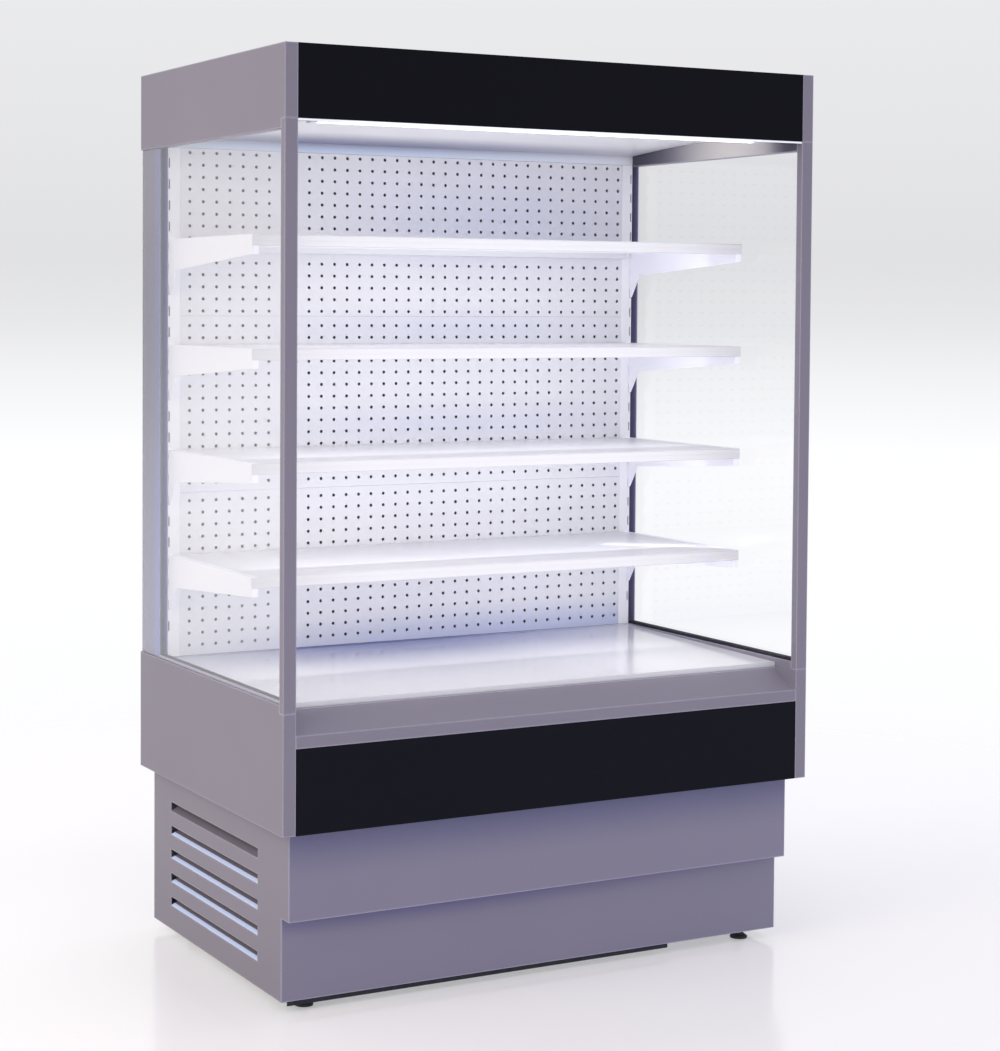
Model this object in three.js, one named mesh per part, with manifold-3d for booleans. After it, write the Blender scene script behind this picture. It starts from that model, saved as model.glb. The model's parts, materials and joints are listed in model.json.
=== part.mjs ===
// Open multideck display fridge: a free-standing plug-in cabinet with four hooked shelves,
// glazed end walls and a stepped base that holds the condensing unit.
// Millimetres. x runs across the front, y runs back from the front face, z runs up from the floor.
import * as THREE from "three";
import { mergeVertices } from "three/addons/utils/BufferGeometryUtils.js";
import Module from "manifold-3d";

const wasm = await Module();
wasm.setup();

// ---------------------------------------------------------------- driving sizes: outside
const WIDTH = 1310;
const DEPTH = 795;
const HEIGHT = 1980;
const END_WALL = 28.5; // thickness of the two end walls
const SHEET = 2; // folded sheet metal
const SEAT_GAP = 0.3; // left between two pieces that touch

// ---------------------------------------------------------------- driving sizes: base
const BASE_CLEARANCE = 24; // floor to the lower edge of the covers
const BASE_SIDE_INSET = 30;
const BASE_REAR_INSET = 11;
const LOWER_TIER_SETBACK = 70;
const LOWER_TIER_TOP = 198;
const UPPER_TIER_SETBACK = 34;
const BODY_BOTTOM = 384;
const RAIL = 40; // section of the base frame
const FRAME_LIFT = 4; // frame above the covers' lower edge
const LOUVRE_COUNT = 5;
const LOUVRE_PITCH = 54.7;
const LOUVRE_HEIGHT = 21;
const LOUVRE_REAR_MARGIN = 105; // louvres to the rear edge of the cover
const LOUVRE_START = 191;
const LOUVRE_BOTTOM = 78;
const LOUVRE_DEPTH = 20;
const LOUVRE_RISE = 9.5;
const GRILLE_COLUMNS = 20;
const GRILLE_ROWS = 2;
const GRILLE_SLOT = [14, 120]; // width and height of a rear slot
const GRILLE_PITCH = [50, 150];
const GLAND_RADIUS = 11; // mains inlet in the rear grille
const GLAND_BORE = 4.5;
const GLAND_LENGTH = 18;
const GLAND_INSET = 107; // from the side of the cabinet
const GLAND_Z = 300;

// ---------------------------------------------------------------- driving sizes: feet
const FOOT_SIDE_INSET = 100;
const FOOT_FRONT_INSET = 110;
const FOOT_REAR_INSET = 75;
const PAD_RADIUS = 20;
const PAD_NECK_RADIUS = 12;
const PAD_RIM = 4;
const PAD_HEIGHT = 10;
const STEM_RADIUS = 5;
const STEM_TOP = 58;
const STEM_CLEARANCE = 0.4;
const NUT_RADIUS = 9;
const NUT_HEIGHT = 7;
const NUT_LIFT = 3; // nut above the pad
const FOOT_PLATE = 6;
const FOOT_PLATE_WIDTH = 122;

// ---------------------------------------------------------------- driving sizes: insulated body
const BACK_WALL = 75;
const FLOOR_SLAB = 55;
const ROOF_SLAB = 60;
const ROOF_RECESS = 5; // roof below the top edge of the fascia
const FRONT_WALL = 44;
const FRONT_WALL_TOP = 590;
const FRONT_CAVITY = 24; // front face to the foamed front wall
const DRAIN_RADIUS = 8;
const DRAIN_SPOUT = 13;
const DRAIN_DROP = 220;
const DRAIN_INSET = 405; // from the back of the cabinet
const PIPE_HOLE = 14;

// ---------------------------------------------------------------- driving sizes: end walls
const GLASS = 6;
const GLASS_RECESS = 3;
const GLASS_BITE = 6; // how far the pane stands in its grooves
const GLASS_BOTTOM = 650;
const GLASS_TOP_INSET = 170; // pane's upper edge below the top of the cabinet
const POST_DEPTH = 19;
const POST_BOTTOM = 633;
const REAR_LIP = 30; // outer lip of the back wall, in front of the foam
const SEAL_HEIGHT = 6;
const SEAL_INSET = 1; // seal behind the inner face of the end wall
const LEDGE = 20; // deck ledge on the end wall
const LEDGE_HEIGHT = 14;

// ---------------------------------------------------------------- driving sizes: front
const BLACK_PANEL_TOP = 561;
const BLACK_SKIN = 3;
const BUMPER_TOP = 587;
const SLOPE_BACK = 71; // rear edge of the sloping sill
const SLOPE_TOP = 629;
const RETURN_AIR_GAP = 7;
const DECK_FRONT_TOP = 640;
const DECK_REAR_TOP = 648;
const DECK_LIP = 13;
const DECK_REAR_FLANGE = 26;

// ---------------------------------------------------------------- driving sizes: canopy
const FASCIA_HEIGHT = 150;
const CEILING_FRONT = 112;
const CEILING_FRONT_DROP = 128; // front edge of the ceiling below the top of the cabinet
const CEILING_REAR_DROP = 145;
const CEILING_CROWN = 9; // rise of the curved sheet above its chord
const CEILING_STEPS = 14;
const COMB_HEIGHT = 20;
const COMB_CELLS = 60;
const COMB_WALL = 2.5;
const COMB_LIP = 18; // comb's bearing on the fold of the fascia
const COMB_INSET = 55; // comb and lamp batten, from the side of the cabinet
const LAMP_RADIUS = 8;
const LAMP_Y = 86;
const LAMP_DROP = 143; // lamp's axis below the top of the cabinet
const LAMP_INSET = 107;
const HOLDER_WIDTH = 14;
const HOLDER_DEPTH = 24;
const LAMP_SETBACK = 5; // comb to lamp
const BATTEN_FLANGE = 24;
const BATTEN_LEDGE = 4;

// ---------------------------------------------------------------- driving sizes: shelving
const DUCT_DEPTH = 30; // front face of the lining and the uprights to the foamed back wall
const UPRIGHT_WIDTH = 30;
const SLOT_PITCH = 48;
const SLOT_HEIGHT = 22;
const SLOT_START = 710; // lower edge of the lowest slot
const SLOT_CLEARANCE = 0.7; // each side of a hook
const UPRIGHT_BOTTOM = 650;
const UPRIGHT_TOP_INSET = 168;
const UPRIGHT_MARGIN = 15; // least steel above the highest slot
const BACK_JOINTS = [1026, 1430];
const PANEL_GAP = 0.4;
const BACK_FLANGE = 15;
const SHELF_SLOTS = [3, 8, 13, 18]; // slot that takes each shelf's upper hook
const HOOK_SEAT = 0.5; // play under a seated hook
const SHELF_REACH = 468; // shelf's front edge to the front of the lining
const TRAY_LIP = 24.5;
const TRAY_REAR_FLANGE = 28;
const TRAY_HEM = 10;
const HEM_CLEARANCE = 3; // the hem passes the bracket's seat when the tray lifts out
const TRAY_REAR_GAP = 3;
const RIB_HEIGHT = 18;
const RIB_SETS = [130, 330]; // stiffening ribs behind the lip
const BRACKET_FLANGE = 15;
const BRACKET_FRONT = 42; // height of the bracket at its front
const BRACKET_CROOK = [43, 71]; // knee ahead of the upright and below the shelf
const BRACKET_HEEL = [7, 125]; // foot of the arm, measured the same way
const BRACKET_WALL_GAP = 3; // web to end wall
const LEDGE_REACH = 15; // tray seat, inwards from the bracket's flange
const HOOK_NECK = 10;
const HOOK_TONGUE = 10;
const HOOK_DROPS = [30, 78]; // lower edge of each neck below the shelf top

// ---------------------------------------------------------------- driving sizes: cold side
const COIL_REAR_GAP = 10; // coil to the front of the lining
const COIL_DEPTH = 260;
const COIL_BOTTOM = 452;
const COIL_TOP = 596;
const COIL_INSET = 185; // from the side of the cabinet
const COIL_FINS = 36;
const FIN_DEPTH = 90;
const COIL_END = 3;
const BEND_RADIUS = 6;
const BEND_SPAN = 22; // half the distance between the two ends of a return bend
const BEND_REACH = 24;
const BEND_COLUMNS = 4;
const FAN_PLATE_LEAD = 100; // fan plate ahead of the coil
const FAN_PLATE_TOP = 632;
const FAN_PLATE_FLANGE = 24;
const COLD_FAN_INSET = 365;
const COLD_FAN_Z = 540;
const COLD_FAN_TIP = 74;
const COLD_FAN_HUB = 24;
const COLD_FAN_WIDTH = 16;
const TIP_CLEARANCE = 4;

// ---------------------------------------------------------------- driving sizes: warm side
const POT_INSET = [275, 235]; // compressor's axis from the side and the back of the cabinet
const POT_RADIUS = 80;
const POT_HEIGHT = 190;
const POT_PLATE = [230, 170, 4];
const GROMMET_RADIUS = 11;
const GROMMET_HEIGHT = 12;
const SUCTION_RADIUS = 7;
const SUCTION_Z = 160;
const SUCTION_INSET = 115;
const LINE_RADIUS = 5;
const DISCHARGE_Z = 190;
const LINE_REAR_INSET = 127; // pipe run behind the unit, from the back of the cabinet
const LIQUID_INSET = 80;
const LIQUID_Z = 60;
const ELBOW = 16; // centre-line radius of the pipe bends
const ELBOW_STEPS = 4;
const PIPE_SIDES = 8;
const CONDENSER_INSET = 80; // finned face, from the side of the cabinet
const CONDENSER_THICKNESS = 60;
const CONDENSER_FRONT = 150;
const CONDENSER_REAR_INSET = 225;
const CONDENSER_HEIGHT = 270;
const CONDENSER_FINS = 30;
const CONDENSER_FIN_DEPTH = 40;
const SHROUD_DEPTH = 60;
const SHROUD_WALL = 3;
const WARM_FAN_TIP = 116;
const WARM_FAN_HUB = 30;
const WARM_FAN_WIDTH = 20;
const MOTOR_RADIUS = 30;
const MOTOR_LENGTH = 46;
const SHAFT_RADIUS = 4;
const SHAFT_CLEARANCE = 0.35;
const ARM_WIDTH = 9;
const BLADE_COUNT = 5;
const BLADE_THICKNESS = 2.5;
const BLADE_PITCH = 28; // degrees
const CONDENSATE_RIM = { half: 140, reach: 70, height: 40 };
const CONTROL_BOX = { x: [-230, -60], depth: 74, bottom: 262, top: 380, lid: 8 };

// ---------------------------------------------------------------- places worked out from the sizes
const HALF = WIDTH / 2;
const INNER = HALF - END_WALL; // inner face of an end wall
const BETWEEN_WALLS = INNER - SEAT_GAP;
const GLASS_OUTER = HALF - GLASS_RECESS;
const GLASS_INNER = GLASS_OUTER - GLASS;
const BASE_HALF = HALF - BASE_SIDE_INSET;
const BASE_BACK = DEPTH - BASE_REAR_INSET;
const FRAME_HALF = BASE_HALF - SHEET - SEAT_GAP;
const FRAME_FRONT = LOWER_TIER_SETBACK + SHEET + SEAT_GAP;
const FRAME_BACK = BASE_BACK - SHEET - SEAT_GAP;
const FRAME_BOTTOM = BASE_CLEARANCE + FRAME_LIFT;
const FRAME_TOP = BODY_BOTTOM - SEAT_GAP;
const PAN_TOP = FRAME_BOTTOM + SHEET;
const ON_PAN = PAN_TOP + SEAT_GAP;
const BACK_WALL_Y = DEPTH - BACK_WALL;
const LINING_Y = BACK_WALL_Y - DUCT_DEPTH;
const DRAIN_Y = DEPTH - DRAIN_INSET;
const GLAND_X = HALF - GLAND_INSET;
const GLASS_TOP = HEIGHT - GLASS_TOP_INSET;
const FASCIA_BOTTOM = HEIGHT - FASCIA_HEIGHT;
const FLOOR_TOP = BODY_BOTTOM + FLOOR_SLAB;
const ROOF_TOP = HEIGHT - ROOF_RECESS;
const ROOF_BOTTOM = ROOF_TOP - ROOF_SLAB;
const DECK_FRONT = SLOPE_BACK + RETURN_AIR_GAP;
const DECK_BACK = LINING_Y - 4;
const UPRIGHT_TOP = HEIGHT - UPRIGHT_TOP_INSET;
const UPRIGHT_OUTER = INNER - SEAT_GAP;
const UPRIGHT_INNER = UPRIGHT_OUTER - UPRIGHT_WIDTH;
const WEB_OUTER = INNER - BRACKET_WALL_GAP;
const WEB_INNER = WEB_OUTER - SHEET;
const FLANGE_INNER = WEB_OUTER - BRACKET_FLANGE;
const TRAY_HALF = FLANGE_INNER - SEAT_GAP;
const SHELF_FRONT = LINING_Y - SHELF_REACH;
const SHELF_BACK = LINING_Y - SEAT_GAP; // rear edge of the bracket web
const COIL_BACK = LINING_Y - COIL_REAR_GAP;
const COIL_FRONT = COIL_BACK - COIL_DEPTH;
const COIL_HALF = HALF - COIL_INSET;
const FAN_PLATE_Y = COIL_FRONT - FAN_PLATE_LEAD;
const COLD_FAN_X = HALF - COLD_FAN_INSET;
const POT_X = HALF - POT_INSET[0];
const POT_Y = DEPTH - POT_INSET[1];
const SUCTION_X = HALF - SUCTION_INSET;
const LIQUID_X = HALF - LIQUID_INSET;
const LINE_Y = DEPTH - LINE_REAR_INSET;
const COMB_BOTTOM = FASCIA_BOTTOM + BLACK_SKIN + SEAT_GAP;
const COMB_BACK = LAMP_Y - LAMP_RADIUS - LAMP_SETBACK;
const COMB_HALF_LENGTH = HALF - COMB_INSET;
const LAMP_Z = HEIGHT - LAMP_DROP;
const LAMP_HALF_LENGTH = HALF - LAMP_INSET;
const CONDENSER_X = CONDENSER_INSET - HALF;
const CONDENSER_BACK = DEPTH - CONDENSER_REAR_INSET;
const CONDENSER_INNER = CONDENSER_X + CONDENSER_THICKNESS;
const SHROUD_FACE = CONDENSER_INNER + SHROUD_DEPTH;
const WARM_FAN_Y = (CONDENSER_FRONT + CONDENSER_BACK) / 2;
const WARM_FAN_Z = ON_PAN + CONDENSER_HEIGHT / 2;

// ---------------------------------------------------------------- materials
const paint = (color, roughness = 0.5, metalness = 0.1) =>
  new THREE.MeshStandardMaterial({ color, roughness, metalness });
const greyPaint = paint(0x8f8a93, 0.45);
const blackGloss = paint(0x17171d, 0.12);
const whitePaint = paint(0xeeeef2, 0.4);
const blackRubber = paint(0x1a1a1c, 0.8, 0);
const zincSheet = paint(0xb9bcc0, 0.4, 0.8);
const foamSkin = paint(0xd9d9df, 0.5);
const aluminium = paint(0xc4c7cb, 0.35, 0.9);
const blackPaint = paint(0x202022, 0.5, 0.3);
const blackPlastic = paint(0x26262a, 0.55, 0);
const lampGlass = paint(0xfafcff, 0.3, 0);
const clearGlass = new THREE.MeshStandardMaterial({
  color: 0xdfeaea,
  roughness: 0.05,
  transparent: true,
  opacity: 0.3,
});

// ---------------------------------------------------------------- shape helpers
function toSolid(geometry) {
  const bare = geometry.clone();
  bare.deleteAttribute("normal");
  bare.deleteAttribute("uv");
  const merged = mergeVertices(bare, 1e-4);
  return new wasm.Manifold(
    new wasm.Mesh({
      numProp: 3,
      vertProperties: merged.attributes.position.array,
      triVerts: new Uint32Array(merged.index.array),
    }),
  );
}

function toGeometry(solid) {
  const { vertProperties, triVerts } = solid.getMesh();
  const geometry = new THREE.BufferGeometry();
  geometry.setAttribute("position", new THREE.BufferAttribute(vertProperties, 3));
  geometry.setIndex(new THREE.BufferAttribute(triVerts, 1));
  geometry.computeVertexNormals();
  return geometry;
}

const join = (...solids) => solids.reduce((all, next) => all.add(next));
const cut = (solid, ...tools) => tools.reduce((rest, tool) => rest.subtract(tool), solid);
const times = (count, make) => Array.from({ length: count }, (_, i) => make(i));

// A box between two corners, each axis given as [low, high].
function block(x, y, z) {
  const geometry = new THREE.BoxGeometry(x[1] - x[0], y[1] - y[0], z[1] - z[0]);
  geometry.translate((x[0] + x[1]) / 2, (y[0] + y[1]) / 2, (z[0] + z[1]) / 2);
  return toSolid(geometry);
}

function extrude(points, depth, matrix) {
  const shape = new THREE.Shape(points.map(([u, v]) => new THREE.Vector2(u, v)));
  const geometry = new THREE.ExtrudeGeometry(shape, { depth, bevelEnabled: false });
  return toSolid(geometry.applyMatrix4(matrix));
}

const AXIS = {
  x: new THREE.Vector3(1, 0, 0),
  y: new THREE.Vector3(0, 1, 0),
  z: new THREE.Vector3(0, 0, 1),
  minusY: new THREE.Vector3(0, -1, 0),
};

// An outline of [y, z] points carried along x.
function alongX(points, [low, high]) {
  const place = new THREE.Matrix4().makeBasis(AXIS.y, AXIS.z, AXIS.x).setPosition(low, 0, 0);
  return extrude(points, high - low, place);
}

// An outline of [x, z] points carried along y.
function alongY(points, [low, high]) {
  const place = new THREE.Matrix4().makeBasis(AXIS.x, AXIS.z, AXIS.minusY).setPosition(0, high, 0);
  return extrude(points, high - low, place);
}

// An outline of [x, y] points carried along z.
function alongZ(points, [low, high]) {
  return extrude(points, high - low, new THREE.Matrix4().setPosition(0, 0, low));
}

// The outline of a sheet folded along a path, its thickness laid on the left of the path.
function folded(path, thickness = SHEET) {
  const normals = path.slice(1).map(([u, v], i) => {
    const [du, dv] = [u - path[i][0], v - path[i][1]];
    const length = Math.hypot(du, dv);
    return [-dv / length, du / length];
  });
  const inner = path.map(([u, v], i) => {
    const before = normals[Math.max(i - 1, 0)];
    const after = normals[Math.min(i, normals.length - 1)];
    const reach = thickness / (1 + before[0] * after[0] + before[1] * after[1]);
    return [u + (before[0] + after[0]) * reach, v + (before[1] + after[1]) * reach];
  });
  return [...path, ...inner.reverse()];
}

// A round bar; the axis is "x", "y" or "z", from is the centre of its low end.
function rod(axis, radius, from, length, sides = 20) {
  const geometry = new THREE.CylinderGeometry(radius, radius, length, sides);
  if (axis === "x") geometry.rotateZ(-Math.PI / 2);
  if (axis === "z") geometry.rotateX(Math.PI / 2);
  const middle = AXIS[axis].clone().multiplyScalar(length / 2);
  geometry.translate(from[0] + middle.x, from[1] + middle.y, from[2] + middle.z);
  return toSolid(geometry);
}

function turned(profile, sides = 20) {
  const points = profile.map(([radius, z]) => new THREE.Vector2(radius, z));
  const geometry = new THREE.LatheGeometry(points, sides);
  geometry.rotateX(Math.PI / 2);
  return toSolid(geometry);
}

// A pipe through the given corners, each corner rounded to the elbow radius.
function pipe(corners, radius) {
  const at = corners.map((corner) => new THREE.Vector3(...corner));
  const towards = (from, to) => to.clone().sub(from).normalize().multiplyScalar(ELBOW).add(from);
  const elbows = at.slice(1, -1).map((corner, i) => {
    const [arrive, leave] = [towards(corner, at[i]), towards(corner, at[i + 2])];
    return new THREE.QuadraticBezierCurve3(arrive, corner, leave).getPoints(ELBOW_STEPS);
  });
  return swept([at[0], ...elbows.flat(), at.at(-1)], radius);
}

// A round bar swept along a line of points: one frame is carried from each point to the next.
function swept(points, radius) {
  const spans = points.slice(1).map((point, i) => point.clone().sub(points[i]).normalize());
  const headings = points.map((_, i) =>
    spans[Math.max(i - 1, 0)].clone().add(spans[Math.min(i, spans.length - 1)]).normalize(),
  );
  const first = Math.abs(headings[0].z) < 0.9 ? AXIS.z : AXIS.x;
  const side = new THREE.Vector3().crossVectors(headings[0], first).normalize();
  const rings = points.map((point, i) => {
    const before = headings[Math.max(i - 1, 0)];
    side.applyQuaternion(new THREE.Quaternion().setFromUnitVectors(before, headings[i]));
    return times(PIPE_SIDES, (k) => {
      const turn = (k / PIPE_SIDES) * 2 * Math.PI;
      return side.clone().applyAxisAngle(headings[i], turn).multiplyScalar(radius).add(point);
    });
  });
  return ringsToSolid([points[0], ...rings.flat(), points.at(-1)], rings.length);
}

// Skins a stack of equal rings; the first and the last vertex are the centres of the two ends.
function ringsToSolid(vertices, ringCount) {
  const at = (ring, k) => 1 + ring * PIPE_SIDES + (k % PIPE_SIDES);
  const last = vertices.length - 1;
  const index = [];
  for (let k = 0; k < PIPE_SIDES; k++) {
    index.push(0, at(0, k + 1), at(0, k));
    index.push(last, at(ringCount - 1, k), at(ringCount - 1, k + 1));
    for (let ring = 1; ring < ringCount; ring++) {
      index.push(at(ring - 1, k), at(ring - 1, k + 1), at(ring, k + 1));
      index.push(at(ring - 1, k), at(ring, k + 1), at(ring, k));
    }
  }
  const geometry = new THREE.BufferGeometry().setFromPoints(vertices);
  geometry.setIndex(index);
  return toSolid(geometry);
}

// The same piece for the other end of the cabinet.
function mirrored(geometry) {
  const twin = geometry.clone().scale(-1, 1, 1);
  const index = twin.index.array;
  for (let i = 0; i < index.length; i += 3) [index[i], index[i + 1]] = [index[i + 1], index[i]];
  twin.computeVertexNormals();
  return twin;
}

function addMesh(group, name, geometry, material) {
  const mesh = new THREE.Mesh(geometry, material);
  mesh.name = name;
  group.add(mesh);
  return mesh;
}

const addPart = (group, name, solid, material) =>
  addMesh(group, name, toGeometry(solid), material);

// Makes a right-hand piece and its mirror image.
function addPair(group, name, solid, material) {
  const right = toGeometry(solid);
  addMesh(group, "right_" + name, right, material);
  addMesh(group, "left_" + name, mirrored(right), material);
}

const across = (half) => [-half, half];

// ---------------------------------------------------------------- base
function footPlaces() {
  const x = HALF - FOOT_SIDE_INSET;
  const rear = DEPTH - FOOT_REAR_INSET;
  return [
    { name: "front_left", x: -x, y: FOOT_FRONT_INSET },
    { name: "front_right", x, y: FOOT_FRONT_INSET },
    { name: "rear_left", x: -x, y: rear },
    { name: "rear_right", x, y: rear },
  ];
}

function baseFrame() {
  const ring = [FRAME_BOTTOM, FRAME_BOTTOM + RAIL];
  const topRing = [FRAME_TOP - RAIL, FRAME_TOP];
  const frontRail = [FRAME_FRONT, FRAME_FRONT + RAIL];
  const rearRail = [FRAME_BACK - RAIL, FRAME_BACK];
  const wide = across(FRAME_HALF);
  const ends = [
    [-FRAME_HALF, -FRAME_HALF + RAIL],
    [FRAME_HALF - RAIL, FRAME_HALF],
  ];
  const bars = [frontRail, rearRail].flatMap((y) => [block(wide, y, ring), block(wide, y, topRing)]);
  const sides = ends.map((x) => block(x, [FRAME_FRONT, FRAME_BACK], ring));
  const posts = ends.flatMap((x) =>
    [frontRail, rearRail].map((y) => block(x, y, [FRAME_BOTTOM, FRAME_TOP])),
  );
  const pan = block(wide, [FRAME_FRONT, FRAME_BACK], [FRAME_BOTTOM, PAN_TOP]);
  const frame = join(...bars, ...sides, ...posts, pan, condensateRim(), ...footPlates());
  const holes = footPlaces().map(({ x, y }) =>
    rod("z", STEM_RADIUS + STEM_CLEARANCE, [x, y, 0], STEM_TOP + RAIL, 16),
  );
  return cut(frame, ...holes);
}

// The rim on the pan that holds the condensate until it evaporates.
function condensateRim() {
  const { half, reach, height } = CONDENSATE_RIM;
  const z = [FRAME_BOTTOM, PAN_TOP + height];
  const ring = (inset) => [DRAIN_Y - reach + inset, DRAIN_Y + reach - inset];
  const outside = block(across(half), ring(0), z);
  const inside = block(across(half - SHEET), ring(SHEET), [PAN_TOP, z[1] + 1]);
  return cut(outside, inside);
}

function footPlates() {
  const half = FOOT_PLATE_WIDTH / 2;
  return footPlaces().map(({ x, y }) =>
    block([x - half, x + half], [y - half / 2, y + half / 2], [FRAME_BOTTOM, FRAME_BOTTOM + FOOT_PLATE]),
  );
}

function footPad() {
  return turned([
    [0, 0],
    [PAD_RADIUS, 0],
    [PAD_RADIUS, PAD_RIM],
    [PAD_NECK_RADIUS, PAD_HEIGHT],
    [0, PAD_HEIGHT],
  ]);
}

function footStem() {
  const bottom = PAD_HEIGHT + SEAT_GAP;
  const stud = rod("z", STEM_RADIUS, [0, 0, bottom], STEM_TOP - bottom, 16);
  const nut = rod("z", NUT_RADIUS, [0, 0, PAD_HEIGHT + NUT_LIFT], NUT_HEIGHT, 6);
  return join(stud, nut);
}

// Side cover with louvres: each blade stands on the lower edge of its slot and leans inwards.
function sideCover() {
  const lowerFront = LOWER_TIER_SETBACK + SHEET + SEAT_GAP;
  const upperFront = UPPER_TIER_SETBACK + SHEET + SEAT_GAP;
  const outline = [
    [lowerFront, BASE_CLEARANCE],
    [BASE_BACK, BASE_CLEARANCE],
    [BASE_BACK, FRAME_TOP],
    [upperFront, FRAME_TOP],
    [upperFront, LOWER_TIER_TOP],
    [lowerFront, LOWER_TIER_TOP],
  ];
  const skin = alongX(outline, [BASE_HALF - SHEET, BASE_HALF]);
  const run = [LOUVRE_START, BASE_BACK - LOUVRE_REAR_MARGIN];
  const bottoms = times(LOUVRE_COUNT, (i) => LOUVRE_BOTTOM + i * LOUVRE_PITCH);
  const slots = bottoms.map((z) =>
    block([BASE_HALF - 2 * SHEET, BASE_HALF + SHEET], run, [z, z + LOUVRE_HEIGHT]),
  );
  const blades = bottoms.map((z) => louvreBlade(z, run));
  return join(cut(skin, ...slots), ...blades);
}

function louvreBlade(bottom, run) {
  const outer = BASE_HALF;
  const tip = outer - LOUVRE_DEPTH;
  const outline = [
    [outer, bottom - SHEET],
    [outer, bottom],
    [tip, bottom + LOUVRE_RISE],
    [tip, bottom + LOUVRE_RISE - SHEET],
    [outer - SHEET, bottom - SHEET],
  ];
  return alongY(outline, run);
}

function lowerKick() {
  const top = LOWER_TIER_TOP - SEAT_GAP;
  const front = [LOWER_TIER_SETBACK, LOWER_TIER_SETBACK + SHEET];
  const face = block(across(BASE_HALF), front, [BASE_CLEARANCE, top]);
  const fold = block(
    across(FRAME_HALF - RAIL - 1),
    [LOWER_TIER_SETBACK, FRAME_FRONT + RAIL / 2],
    [top - SHEET, top],
  );
  return join(face, fold);
}

function upperKick() {
  const back = FRAME_FRONT - SEAT_GAP;
  const front = [UPPER_TIER_SETBACK, UPPER_TIER_SETBACK + SHEET];
  const face = block(across(BASE_HALF), front, [LOWER_TIER_TOP, FRAME_TOP]);
  const folds = [LOWER_TIER_TOP, FRAME_TOP - SHEET].map((z) =>
    block(across(FRAME_HALF), [UPPER_TIER_SETBACK, back], [z, z + SHEET]),
  );
  return join(face, ...folds);
}

function rearGrille() {
  const skin = [BASE_BACK - SHEET, BASE_BACK];
  const plate = block(across(FRAME_HALF), skin, [BASE_CLEARANCE, FRAME_TOP]);
  const [wide, tall] = GRILLE_SLOT;
  const [stepX, stepZ] = GRILLE_PITCH;
  const middle = (BASE_CLEARANCE + FRAME_TOP) / 2;
  const slots = times(GRILLE_COLUMNS * GRILLE_ROWS, (i) => {
    const column = (i % GRILLE_COLUMNS) - (GRILLE_COLUMNS - 1) / 2;
    const row = Math.floor(i / GRILLE_COLUMNS) - (GRILLE_ROWS - 1) / 2;
    const [x, z] = [column * stepX, middle + row * stepZ];
    const deep = [skin[0] - 1, skin[1] + 1];
    return block([x - wide / 2, x + wide / 2], deep, [z - tall / 2, z + tall / 2]);
  });
  const gland = rod("y", GLAND_RADIUS, [GLAND_X, skin[1] - GLAND_LENGTH, GLAND_Z], GLAND_LENGTH, 12);
  const bore = rod("y", GLAND_BORE, [GLAND_X, skin[1] - 2 * GLAND_LENGTH, GLAND_Z], 3 * GLAND_LENGTH, 12);
  return cut(join(cut(plate, ...slots), gland), bore);
}

function addBase(cabinet) {
  const base = new THREE.Group();
  cabinet.add(base);
  addPart(base, "base_frame", baseFrame(), zincSheet);
  addPair(base, "base_cover", sideCover(), greyPaint);
  addPart(base, "lower_kick_panel", lowerKick(), greyPaint);
  addPart(base, "upper_kick_panel", upperKick(), greyPaint);
  addPart(base, "rear_base_grille", rearGrille(), greyPaint);
  const [pad, stem] = [toGeometry(footPad()), toGeometry(footStem())];
  footPlaces().forEach(({ name, x, y }) => {
    const foot = new THREE.Group();
    foot.position.set(x, y, 0);
    base.add(foot);
    addMesh(foot, "foot_pad_" + name, pad, blackPlastic);
    addMesh(foot, "foot_stem_" + name, stem, zincSheet);
  });
}

// ---------------------------------------------------------------- insulated body
function insulatedFloor() {
  const back = BACK_WALL_Y - SEAT_GAP;
  const inside = FRONT_CAVITY + FRONT_WALL;
  const outline = [
    [FRONT_CAVITY, BODY_BOTTOM],
    [back, BODY_BOTTOM],
    [back, FLOOR_TOP],
    [inside, FLOOR_TOP],
    [inside, FRONT_WALL_TOP],
    [FRONT_CAVITY, FRONT_WALL_TOP],
  ];
  const tub = alongX(outline, across(BETWEEN_WALLS));
  const spoutBottom = BODY_BOTTOM - DRAIN_DROP;
  const spout = rod("z", DRAIN_SPOUT, [0, DRAIN_Y, spoutBottom], DRAIN_DROP + 5, 16);
  const drain = rod("z", DRAIN_RADIUS, [0, DRAIN_Y, spoutBottom - 5], HEIGHT / 2, 16);
  const pipeHoles = [
    [SUCTION_X, POT_Y],
    [LIQUID_X, LINE_Y],
  ].map(([x, y]) => rod("z", PIPE_HOLE, [x, y, BODY_BOTTOM - 5], FLOOR_SLAB + 10, 16));
  return cut(join(tub, spout), drain, ...pipeHoles);
}

// Foamed back wall. Beside the panes it is wider, with a lip that closes the end wall behind them.
function insulatedBack() {
  const slab = block(across(BETWEEN_WALLS), [BACK_WALL_Y, DEPTH], [BODY_BOTTOM, ROOF_TOP]);
  const wide = GLASS_INNER - SEAT_GAP;
  const beside = [GLASS_BOTTOM + SEAT_GAP, GLASS_TOP - SEAT_GAP];
  const shoulder = block(across(wide), [BACK_WALL_Y, DEPTH], beside);
  const lips = [-1, 1].map((side) =>
    block(
      [wide - SHEET, wide].map((x) => side * x).sort((a, b) => a - b),
      [BACK_WALL_Y - REAR_LIP, BACK_WALL_Y + SHEET],
      beside,
    ),
  );
  return join(slab, shoulder, ...lips);
}

function insulatedRoof() {
  return block(
    across(BETWEEN_WALLS),
    [FRONT_CAVITY, BACK_WALL_Y - SEAT_GAP],
    [ROOF_BOTTOM, ROOF_TOP],
  );
}

function addInsulation(cabinet) {
  addPart(cabinet, "insulated_floor", insulatedFloor(), foamSkin);
  addPart(cabinet, "insulated_back", insulatedBack(), greyPaint);
  addPart(cabinet, "insulated_roof", insulatedRoof(), foamSkin);
}

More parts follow.
